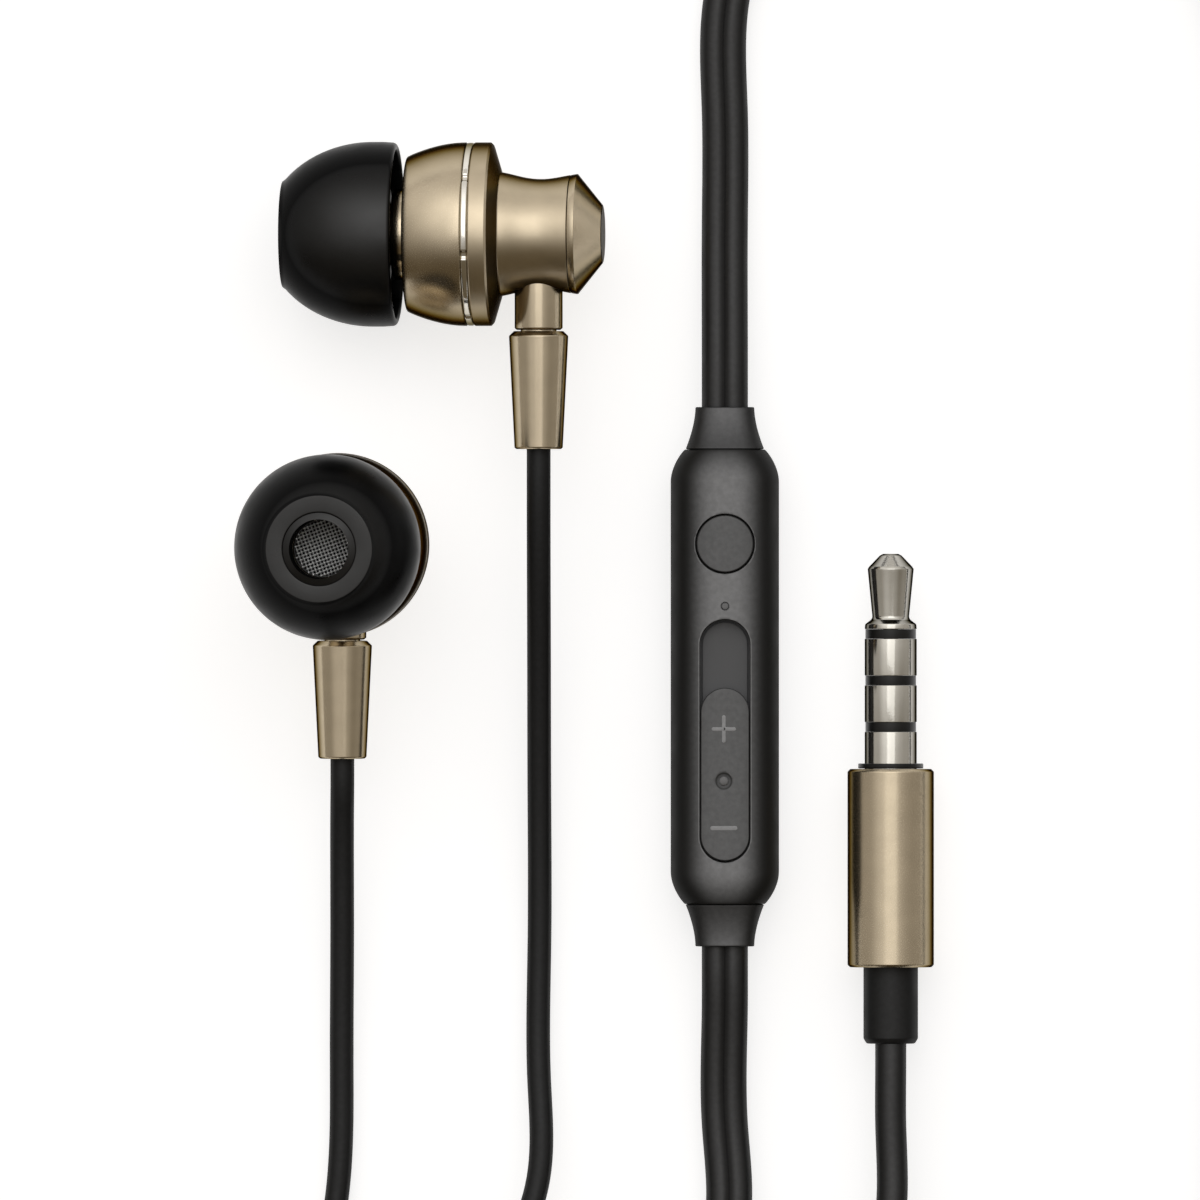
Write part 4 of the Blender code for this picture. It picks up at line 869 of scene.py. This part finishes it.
def crowned_key(name, length, width, centre_y, low, proud, edge):
    """A key with upright sides whose softly edged top follows the front's crown."""
    radius = width / 2
    base = outline(length, width, centre_y, straight=28 if length > width else 1)
    rows = [[(x, y, low) for x, y, _, _ in base]]
    insets = [(edge * (1 - math.cos(a)), edge * math.sin(a) - edge)
              for a in np.linspace(0, QUARTER, 9)]
    insets += [(edge + (radius - edge) * share, 0.0) for share in (0.2, 0.4, 0.6, 0.8, 1.0)]
    for inset, drop in insets:
        row = []
        for x, y, c, s in base:
            px, py = x - c * inset, y - s * inset
            row.append((px, py, float(front_height(px, py)) + proud + drop))
        rows.append(row)
    return tidy(grid_mesh(name, rows, caps=1))


BUTTON = 3.82
PLUNGER_FOOT = 3.04


def call_button():
    mesh = crowned_key("call_key", BUTTON, BUTTON, BUTTON_Y, 3.8, 0.06, 0.1)
    piece("call_key", mesh, key_plastic, "call_button", ["call_button"],
          angle=30)
    flange = [
        (0, 3.9),
        (2.3, 3.9, 0.06),
        (2.3, 3.5, 0.06),
        (0.6, 3.5),
        (0.6, PLUNGER_FOOT, 0.05),
        (0, PLUNGER_FOOT),
    ]
    turned("call_key_flange", flange, key_plastic, at(0, BUTTON_Y), [], "satin_black_plastic",
           "call_button")


SLIDER_LENGTH = 11.58
SLIDER_WIDTH = 3.26
SLIDER_LOW = -12.33
SLIDER_PROUD = 0.08
MARK_X = -0.08
PLUS_Y = -3.5
DOT_Y = -6.99
MINUS_Y = -10.15
DOT = 0.3
STROKE = 0.018


def slider_top(x, y):
    return float(front_height(x, y)) + SLIDER_PROUD


def volume_slider():
    low = POCKET_FLOOR + 0.13
    mesh = crowned_key("volume_key", SLIDER_LENGTH, SLIDER_WIDTH,
                       SLIDER_LOW + SLIDER_LENGTH / 2, low, SLIDER_PROUD, 0.08)
    made = piece("volume_key", mesh, key_plastic, "volume_slider", ["volume_slider"],
                 angle=30)
    top = slider_top(0, DOT_Y)
    recess = lathe("recess", [(0, top - 0.16), (0.42, top - 0.16), (0.54, top - 0.05),
                              (0.62, top + 0.03), (0.62, top + 0.3), (0, top + 0.3)], 64)
    recess.transform(at(MARK_X, DOT_Y))
    carve(made, recess)
    piece("volume_key_stem", box_mesh("key_stem", (-0.45, -6.99, 3.66), (0.45, -5.99, low + 0.1)),
          key_plastic, "volume_slider", [])


def bar(name, half_length, half, along_y, y):
    """A low raised stroke with rounded ends that follows the slider's crown."""
    base = outline(2 * half_length, 2 * half, 0, 10, 16)
    rows = []
    for lift, inset in ((-0.05, 0.0), (0.0, 0.0), (0.012, 0.01), (STROKE, 0.035), (STROKE, half)):
        row = []
        for u, v, c, s in base:
            px, py = u - c * inset, v - s * inset
            if not along_y:
                px, py = py, -px
            px, py = MARK_X + px, y + py
            row.append((px, py, slider_top(px, py) + lift))
        rows.append(row)
    piece(name, tidy(grid_mesh(name, rows, caps=1)), mark_paint, "volume_slider", [],
          angle=50)


def slider_marks():
    bar("mark_plus_across", 0.82, 0.125, False, PLUS_Y)
    bar("mark_plus_along", 0.93, 0.125, True, PLUS_Y)
    bar("mark_minus", 0.91, 0.145, False, MINUS_Y)
    top = slider_top(MARK_X, DOT_Y)
    dome = [(0, top - 0.02)]
    for step in range(1, 9):
        angle = QUARTER * step / 8
        dome.append((DOT * math.sin(angle), top - 0.12 + 0.1 * math.cos(angle)))
    dome += [(DOT, top - 0.2), (0, top - 0.2)]
    turned("mark_dot", dome, dot_paint, at(MARK_X, DOT_Y), [], "satin_black_plastic",
           "volume_slider", sides=48)


def remote():
    remote_shells()
    remote_relief("relief_upper", "remote_relief_upper", 1)
    remote_relief("relief_lower", "remote_relief_lower", -1)
    call_button()
    volume_slider()
    slider_marks()


# ================================================================ plug
# Its axis runs down from the tip's point, so the profiles' heights are below zero.
PLUG = at(11.13, 8.25, 2.95) @ Matrix.Rotation(-QUARTER, 4, "X")
CONTACT_LENGTHS = (5.05, 0.58, 2.46, 0.58, 2.46, 0.58, 2.08, 0.33)
CONTACT_GAP = 0.04
CONTACT = 1.75
CORE = 0.8
BARREL = 2.9
BARREL_LENGTH = 13.3
RELIEF_END = 5.13


def contact(name, start, end, material, slot, radius=CONTACT, edge=0.03, bore=CORE):
    corners = [(bore, -start), (radius, -start, edge), (radius, -end, edge), (bore, -end)]
    turned(name + "_show", corners, material, PLUG, [name], slot, sides=96)


def plug():
    gold = gold_along("plug_gold", PLUG)
    plating = satin_metal("nickel_plating", NICKEL, 0.14, NICKEL_EDGE_SHADE, 0.1, 0.08, PLUG)
    spans = []
    front = 0.0
    for length in CONTACT_LENGTHS:
        spans.append((front, front + length))
        front += length + CONTACT_GAP
    rear = front + BARREL_LENGTH
    end = rear + RELIEF_END
    tip_end = spans[0][1]
    tip = [
        (0, 0),
        (0.52, 0, 0.12),
        (0.74, -0.12, 0.1),
        (1.45, -0.86, 0.1),
        (1.55, -1.02, 0.1),
        (1.53, -1.2, 0.2),
        (1.23, -4.25, 0.3),
        (1.32, -4.42, 0.2),
        (1.72, -4.72, 0.12),
        (CONTACT, -tip_end, 0.04),
        (0.5, -tip_end),
        (0.5, -18.0),
        (0, -18.0),
    ]
    turned("plug_tip_show", tip, plating, PLUG, ["plug_tip"], "nickel_plating", sides=96)
    for index, (start, stop) in enumerate(spans[1:6]):
        number = index // 2 + 1
        if index % 2 == 0:
            contact(f"plug_insulator_{number}", start - 0.03, stop + 0.03, dark_plastic,
                    "satin_black_plastic", 1.7, 0.02)
        else:
            contact(f"plug_ring_{number}", start, stop, plating, "nickel_plating")
    start = spans[6][0]
    sleeve = [
        (CORE, -start),
        (CONTACT, -start, 0.03),
        (CONTACT, -(front + 0.64)),
        (2.15, -(front + 0.64)),
        (2.15, -(front + 1.84)),
        (CORE, -(front + 1.84)),
    ]
    turned("plug_sleeve_show", sleeve, plating, PLUG, ["plug_sleeve"], "nickel_plating", sides=96)
    contact("plug_collar", *spans[7], dark_plastic, "satin_black_plastic", 2.19, 0.06, 1.79)
    barrel = [
        (1.79, -front),
        (2.72, -front, 0.05),
        (BARREL, -(front + 0.18), 0.12),
        (BARREL, -(rear - 0.16), 0.12),
        (2.74, -rear, 0.05),
        (1.87, -rear),
        (1.87, -(rear - 0.6)),
        (2.3, -(rear - 0.6)),
        (2.3, -(front + 0.6)),
        (1.79, -(front + 0.6)),
    ]
    turned("plug_barrel_show", barrel, gold, PLUG, ["plug_barrel"], "champagne_aluminium")
    step = rear - 0.64
    relief = [
        (0, -(step - 3.0)),
        (2.15, -(step - 3.0)),
        (2.15, -step),
        (1.83, -step),
        (1.83, -(end - 0.35), 0.2),
        (1.62, -end, 0.2),
        (1.2, -end),
        (0, -end),
    ]
    turned("plug_relief_show", relief, plug_rubber, PLUG, ["plug_relief"], "black_elastomer")
    return PLUG @ Vector((0, 0, -end * MM))


# ================================================================ splitter
SPLITTER_HEADING = math.radians(64)
SPLITTER_CENTRE = Vector((-3.7 * MM, -45.4 * MM, 1.85 * MM))
SPLITTER_HALF = 5.9
heading = Vector((math.cos(SPLITTER_HEADING), math.sin(SPLITTER_HEADING), 0))


def splitter():
    """A block that narrows towards the remote, with a fine groove near each end."""
    turn = Matrix.Rotation(SPLITTER_HEADING - QUARTER, 4, "Z")
    rows = []
    for t in np.linspace(-1, 1, 49):
        narrower = 0.72 * max(t - 0.3, 0) / 0.7
        groove_depth = sum(0.06 * math.exp(-(((t - spot) / 0.03) ** 2)) for spot in (-0.62, 0.72))
        less = narrower + 2 * groove_depth
        size = 0.86 + 0.14 * math.sin(min(1.0, (1 - abs(t)) / 0.07) * QUARTER)
        rows.append(oval((4.6 - less) * size, (3.6 - less) * size, 0, t * SPLITTER_HALF, 3.0))
    piece("splitter_show", tidy(grid_mesh("splitter_show", rows)), relief_rubber, "root",
          ["splitter"], Matrix.Translation(SPLITTER_CENTRE) @ turn, 50)


# ================================================================ cords, in metres
LEAD = 1.6 * MM
CORD_WIDTH = 3.1 * MM
CORD_THICKNESS = 2.1 * MM
TURN_GAP = 0.46 * MM
FLOOR_GAP = 0.05 * MM
SEAT = 0.3 * MM

RIGHT_LEAD_ROUTE = [
    (-0.01249, 0.0110, 0.0068),
    (-0.01247, 0.0020, 0.0044),
    (-0.01245, -0.0080, 0.0021),
    (-0.01245, -0.0180, 0.0011),
    (-0.01247, -0.0270, 0.0016),
    (-0.01249, -0.0335, 0.0031),
    (-0.01560, -0.0400, 0.0053),
]
LEFT_LEAD_ROUTE = [
    (-0.02568, -0.0090, 0.0036),
    (-0.02569, -0.0170, 0.0019),
    (-0.02573, -0.0260, 0.0010),
    (-0.02600, -0.0345, 0.00087),
    (-0.02830, -0.0435, 0.00086),
]
RIGHT_JOINING_ROUTE = [(-0.0080, -0.0572, 0.0044)]
UPPER_CORD_ROUTE = [
    (0.0, 0.0220, 0.0023),
    (0.0, 0.0300, 0.0013),
    (0.0, 0.0380, 0.0011),
    (0.0002, 0.0460, 0.0011),
    (0.0028, 0.0515, 0.0012),
    (0.0085, 0.0540, 0.0013),
    (0.0168, 0.0543, 0.0015),
    (0.0252, 0.0538, 0.0016),
    (0.0310, 0.0510, 0.0016),
    (0.0336, 0.0452, 0.0016),
    (0.0338, 0.0300, 0.0016),
    (0.0339, 0.0050, 0.0016),
    (0.0338, -0.0200, 0.0016),
    (0.0337, -0.0450, 0.0016),
]
LOWER_CORD_ROUTE = [(0.0, -0.0220, 0.0023), (0.0, -0.0300, 0.0014)]
PLUG_CORD_ROUTE = [
    (0.01113, -0.0300, 0.0029),
    (0.01094, -0.0372, 0.0034),
    (0.00978, -0.04035, 0.0043),
]


def smooth_through(points, first_slope, last_slope, spacing):
    """A cubic spline through the points, by chord length, read at an even spacing."""
    knots = np.array([tuple(point) for point in points])
    chords = np.linalg.norm(np.diff(knots, axis=0), axis=1)
    count = len(knots)
    matrix = np.zeros((count, count))
    right = np.zeros((count, 3))
    matrix[0, 0] = matrix[-1, -1] = 1.0
    right[0] = tuple(first_slope)
    right[-1] = tuple(last_slope)
    for i in range(1, count - 1):
        before, after = chords[i - 1], chords[i]
        matrix[i, i - 1 : i + 2] = (after, 2 * (before + after), before)
        right[i] = 3 * (
            before * (knots[i + 1] - knots[i]) / after + after * (knots[i] - knots[i - 1]) / before
        )
    slopes = np.linalg.solve(matrix, right)
    fine = []
    for i in range(count - 1):
        for t in np.linspace(0, 1, 60, endpoint=False):
            fine.append(
                (2 * t**3 - 3 * t**2 + 1) * knots[i]
                + (t**3 - 2 * t**2 + t) * chords[i] * slopes[i]
                + (3 * t**2 - 2 * t**3) * knots[i + 1]
                + (t**3 - t**2) * chords[i] * slopes[i + 1]
            )
    fine.append(knots[-1])
    fine = np.array(fine)
    run = np.concatenate([[0.0], np.cumsum(np.linalg.norm(np.diff(fine, axis=0), axis=1))])
    even = np.linspace(0, run[-1], max(int(round(run[-1] / spacing)), 8) + 1)
    return np.stack([np.interp(even, run, fine[:, k]) for k in range(3)], axis=1)


def stretch(start, start_heading, route, end, end_heading, diameter):
    """A line between two ends, each left and met along its heading."""
    lead_in = diameter / 2
    points = [start + start_heading * lead_in, *[Vector(p) for p in route],
              end - end_heading * lead_in]
    middle = smooth_through(points, start_heading, end_heading, 0.6 * MM)
    return np.vstack([np.array([start]), middle, np.array([end])])


def coil(centre, radius, start, end, loops, turning, heights, pitch, straight):
    """Loops that spiral in on one layer and out on the next, changing layer at the middle."""
    total = ((end - start) * turning) % (2 * math.pi) + 2 * math.pi * loops
    along = np.linspace(0, total, round(total / (2 * math.pi) * 72) + 1)
    climb = smooth_step(np.clip((along - total / 2) / math.pi + 0.5, 0, 1))
    reach = radius - pitch * np.minimum(along, total - along) / (2 * math.pi)
    angle = start + turning * along
    line = np.stack([
        centre[0] + reach * np.cos(angle),
        centre[1] + reach * np.sin(angle),
        heights[0] + (heights[1] - heights[0]) * climb,
    ], axis=1)
    into = turning * Vector((-math.sin(start), math.cos(start), 0))
    out = turning * Vector((-math.sin(end), math.cos(end), 0))
    before, after = line[0] - np.array(into) * straight, line[-1] + np.array(out) * straight
    return np.vstack([before, line, after]), into, out


def length_of(line):
    return float(np.linalg.norm(np.diff(line, axis=0), axis=1).sum())


def round_cord(name, line, nodes, diameter):
    curve = bpy.data.curves.new(name, "CURVE")
    curve.dimensions = "3D"
    curve.twist_mode = "Z_UP"
    curve.bevel_depth = diameter / 2
    curve.bevel_resolution = 7
    curve.use_fill_caps = True
    spline = curve.splines.new("POLY")
    spline.points.add(len(line) - 1)
    for spot, place in zip(spline.points, line):
        spot.co = (*place, 1.0)
    spline.use_smooth = True
    return piece(name, curve, cord_rubber, "root", nodes)


def twin_section(count=64):
    """Two round lobes side by side with a valley along each face: (across, through) pairs."""
    lobe, offset = 1.04 * MM, 0.51 * MM
    valley_depth, valley_width = 0.09 * MM, 0.22 * MM
    points = []
    for step in range(count):
        angle = 2 * math.pi * step / count
        c, s = math.cos(angle), math.sin(angle)
        across = (offset + lobe) * math.copysign(abs(c) ** 0.9, c)
        beyond = min(abs(abs(across) - offset), lobe)
        half = math.sqrt(max(lobe**2 - beyond**2, 0.0))
        valley = valley_depth * math.exp(-((across / valley_width) ** 2))
        points.append((across, math.copysign(max(half - valley, 0.0), s)))
    return points


def twin_cord(name, line, flat, nodes):
    """A flat twin cord; flat is 1 where its width lies level and 0 where it stands on edge."""
    tangents = np.gradient(line, axis=0)
    tangents /= np.linalg.norm(tangents, axis=1)[:, None]
    section = twin_section()
    rows = []
    for place, along, level in zip(line, tangents, flat):
        side = np.cross(along, (0, 0, 1))
        side /= np.linalg.norm(side)
        up = np.cross(side, along)
        turn = level * QUARTER
        wide = side * math.sin(turn) + up * math.cos(turn)
        thin = up * math.sin(turn) - side * math.cos(turn)
        rows.append([place + wide * a + thin * b for a, b in section])
    mesh = tidy(grid_mesh(name, rows, unit=1))
    return piece(name, mesh, twin_rubber, "root", nodes, angle=60)


def lead(side, matrix, route, joining, radius, start, end, layers, offset):
    """A lead from the earpiece's sleeve, through its coil, into the splitter."""
    heights = [LEAD / 2 + FLOOR_GAP + layer * (LEAD + TURN_GAP) for layer in layers]
    wound, into, out = coil((-0.02075, -0.056), radius, math.radians(start), math.radians(end), 6,
                            1, heights, LEAD + TURN_GAP, LEAD)
    away = (matrix.to_3x3() @ Vector((0, -1, 0))).normalized()
    leaving = matrix @ Vector((0, -14.7 * MM, 0))
    inside = np.array(leaving - away * 3.2 * MM)
    upper = stretch(leaving, away, route, Vector(wound[0]) - into * SEAT, into, LEAD)
    across = Vector((heading.y, -heading.x, 0))
    entry = SPLITTER_CENTRE - heading * (SPLITTER_HALF * MM + SEAT) + across * offset
    lower = stretch(Vector(wound[-1]) + out * SEAT, out, joining, entry, heading, LEAD)
    line = np.vstack([inside, upper, wound, lower, np.array(entry + heading * 1.5 * MM)])
    nodes = [side + part for part in ("_lead_upper", "_lead_coil", "_lead_lower")]
    made = round_cord(side + "_lead", line, nodes, LEAD)
    return made, leaving, length_of(line)


def main_cords(plug_end):
    """The remote's two twin cords: by the main coil to the plug, and down to the splitter."""
    low = CORD_WIDTH / 2 + FLOOR_GAP
    wound, into, out = coil((0.0154, -0.06), 18.3 * MM, 0.0, math.radians(127), 5, -1,
                            (low, low + CORD_WIDTH + TURN_GAP), CORD_THICKNESS + TURN_GAP,
                            CORD_WIDTH)
    exit_y = (HALF_LENGTH + SEAM + RELIEF_LENGTH) * MM + SEAT
    ahead, back = Vector((0, 1, 0)), Vector((0, -1, 0))
    cord_height = RELIEF_NARROW[2] * MM
    top = Vector((0, exit_y, cord_height))
    upper = stretch(top, ahead, UPPER_CORD_ROUTE, Vector(wound[0]) - into * SEAT, into,
                    CORD_THICKNESS)
    to_plug = stretch(plug_end - Vector((0, SEAT, 0)), back, PLUG_CORD_ROUTE,
                      Vector(wound[-1]) + out * SEAT, -out, CORD_THICKNESS)[::-1]
    share = np.linspace(0, 1, len(upper))
    level, upright = 0.16, 0.42
    flat = 1 - smooth_step(np.clip((share - level) / (upright - level), 0, 1))
    head = np.array(top - ahead * 1.2 * MM)
    tail = np.array(plug_end + Vector((0, 1.0 * MM, 0)))
    line = np.vstack([head, upper, wound, to_plug, tail])
    flat = np.concatenate([[1.0], flat, np.zeros(len(wound) + len(to_plug) + 1)])
    made = twin_cord("main_cord", line, flat, ["upper_cord", "cord_coil", "plug_cord"])
    bottom = Vector((0, -exit_y, cord_height))
    joint = SPLITTER_CENTRE + heading * (SPLITTER_HALF * MM + SEAT)
    lower = stretch(bottom, back, LOWER_CORD_ROUTE, joint, -heading, CORD_THICKNESS)
    line = np.vstack([np.array(bottom - back * 3.0 * MM), lower,
                      np.array(joint - heading * 4.5 * MM)])
    made = twin_cord("lower_twin_cord", line, np.ones(len(line)), ["lower_cord"])


# ================================================================ assembly
right_place, left_place = right_matrix(), left_matrix()
plug_end = plug()
splitter()
for made, leaving, length in (
    lead("right", right_place, RIGHT_LEAD_ROUTE, RIGHT_JOINING_ROUTE, 10.8 * MM, 120, 318,
         (3, 2), 1.05 * MM),
    lead("left", left_place, LEFT_LEAD_ROUTE, [], 11.4 * MM, 165, 352, (0, 1), -1.05 * MM),
):
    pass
main_cords(plug_end)
earpiece("right", right_place)
earpiece("left", left_place)
remote()

# ---------------------------------------------------------------- finishes of the inner nodes
INNER = {
    "driver_basket": nickel, "driver_magnet": nickel, "driver_diaphragm": film,
    "slider_wiper": brass, "slide_potentiometer": dark_plastic, "circuit_board": board_green,
    "microphone": nickel, "dome_switch": nickel,
}
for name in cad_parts:
    for ending, material in INNER.items():
        if name.endswith(ending):
            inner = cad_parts[name]
            inner = bpy.data.objects[name] if isinstance(inner, str) else inner
            inner.data.materials.clear()
            inner.data.materials.append(material)


# ================================================================ floor, lamp and surroundings
FLOOR_HALF = 1.5
FLOOR_DROP = 0.04
FLOOR_GLOW = 0.7
FRONT_CUT = ((0, 1, 0), -0.7, 0.25, 1.0)
SKY_LOBES = (
    ((0.05, 0.2, 1.0), 0.5, 0.95, 0.56),
    ((0.0, 1.0, 0.5), 0.4, 0.95, 0.6),
    ((-1.0, 0.1, 0.6), 0.4, 0.95, 0.4),
    ((1.0, 0.1, 0.15), 0.7, 0.97, 0.35),
)
WARM_FILL = {"Color": (1.0, 0.8, 0.5, 1), "Strength": 0.12}


def floor():
    """White paper, which glows only where the eye or a reflection sees it."""
    mesh = bpy.data.meshes.new("floor")
    corners = [(x * FLOOR_HALF, y * FLOOR_HALF, 0) for x, y in ((-1, -1), (1, -1), (1, 1), (-1, 1))]
    mesh.from_pydata(corners, [], [(0, 1, 2, 3)])
    made = bpy.data.objects.new("floor", mesh)
    bpy.context.collection.objects.link(made)
    made.location.z = -FLOOR_DROP * MM
    paper = Shader("floor_paper", grey(0.95))
    rays = paper.node("ShaderNodeLightPath").outputs
    seen = paper.combine("MAXIMUM", rays["Is Camera Ray"], rays["Is Glossy Ray"])
    seen = paper.combine("MAXIMUM", seen, rays["Is Transmission Ray"])
    paper.set(
        Base_Color=paper.blend(paper.ranged(paper.noise(6), 0, 1), (0.55, 0.55, 0.56),
                               (0.56, 0.56, 0.57)),
        Roughness=0.9,
        Specular_IOR_Level=0.1,
        Emission_Color=(1, 1, 1, 1),
        Emission_Strength=paper.combine("MULTIPLY", seen, FLOOR_GLOW),
    )
    mesh.materials.append(paper.material)


def softbox(name, direction, distance, size, radiance):
    """A rectangular lamp that faces the origin."""
    lamp = bpy.data.lights.new(name, "AREA")
    lamp.shape = "RECTANGLE"
    lamp.size, lamp.size_y = size
    lamp.energy = radiance * math.pi * size[0] * size[1]
    made = bpy.data.objects.new(name, lamp)
    bpy.context.collection.objects.link(made)
    out = Vector(direction).normalized()
    made.location = out * distance
    made.rotation_mode = "QUATERNION"
    made.rotation_quaternion = out.to_track_quat("Z", "Y")
    made.visible_camera = False


def surroundings():
    """A soft dome, lighter overhead, behind and to the sides, over a dim warm room."""
    world = bpy.data.worlds.new("studio")
    bpy.context.scene.world = world
    world.use_nodes = True
    sky = Tree(world.node_tree)
    background = sky.tree.nodes["Background"]
    direction = sky.node("ShaderNodeTexCoord").outputs["Generated"]

    def nearing(axis, start, end, level):
        """From 0 to level, while the direction's cosine with the axis goes from start to end."""
        values = {0: direction, 1: Vector(axis).normalized()}
        cosine = sky.node("ShaderNodeVectorMath", values, operation="DOT_PRODUCT").outputs["Value"]
        return sky.ranged(cosine, 0, level, start, end, interpolation_type="SMOOTHSTEP")

    total = None
    for lobe in SKY_LOBES:
        light = sky.combine("MULTIPLY", nearing(*lobe), nearing(*FRONT_CUT))
        total = light if total is None else sky.combine("ADD", total, light)
    sky.put(background.inputs["Strength"], total)
    sky.put(background.inputs["Color"], (1, 1, 1, 1))
    fill = sky.node("ShaderNodeBackground", WARM_FILL).outputs[0]
    both = sky.node("ShaderNodeAddShader", {0: background.outputs[0], 1: fill}).outputs[0]
    sky.put(sky.tree.nodes["World Output"].inputs["Surface"], both)


floor()
softbox("softbox", (0.05, 0.3, 1.0), 3.2, (2.0, 2.6), 0.7)
surroundings()
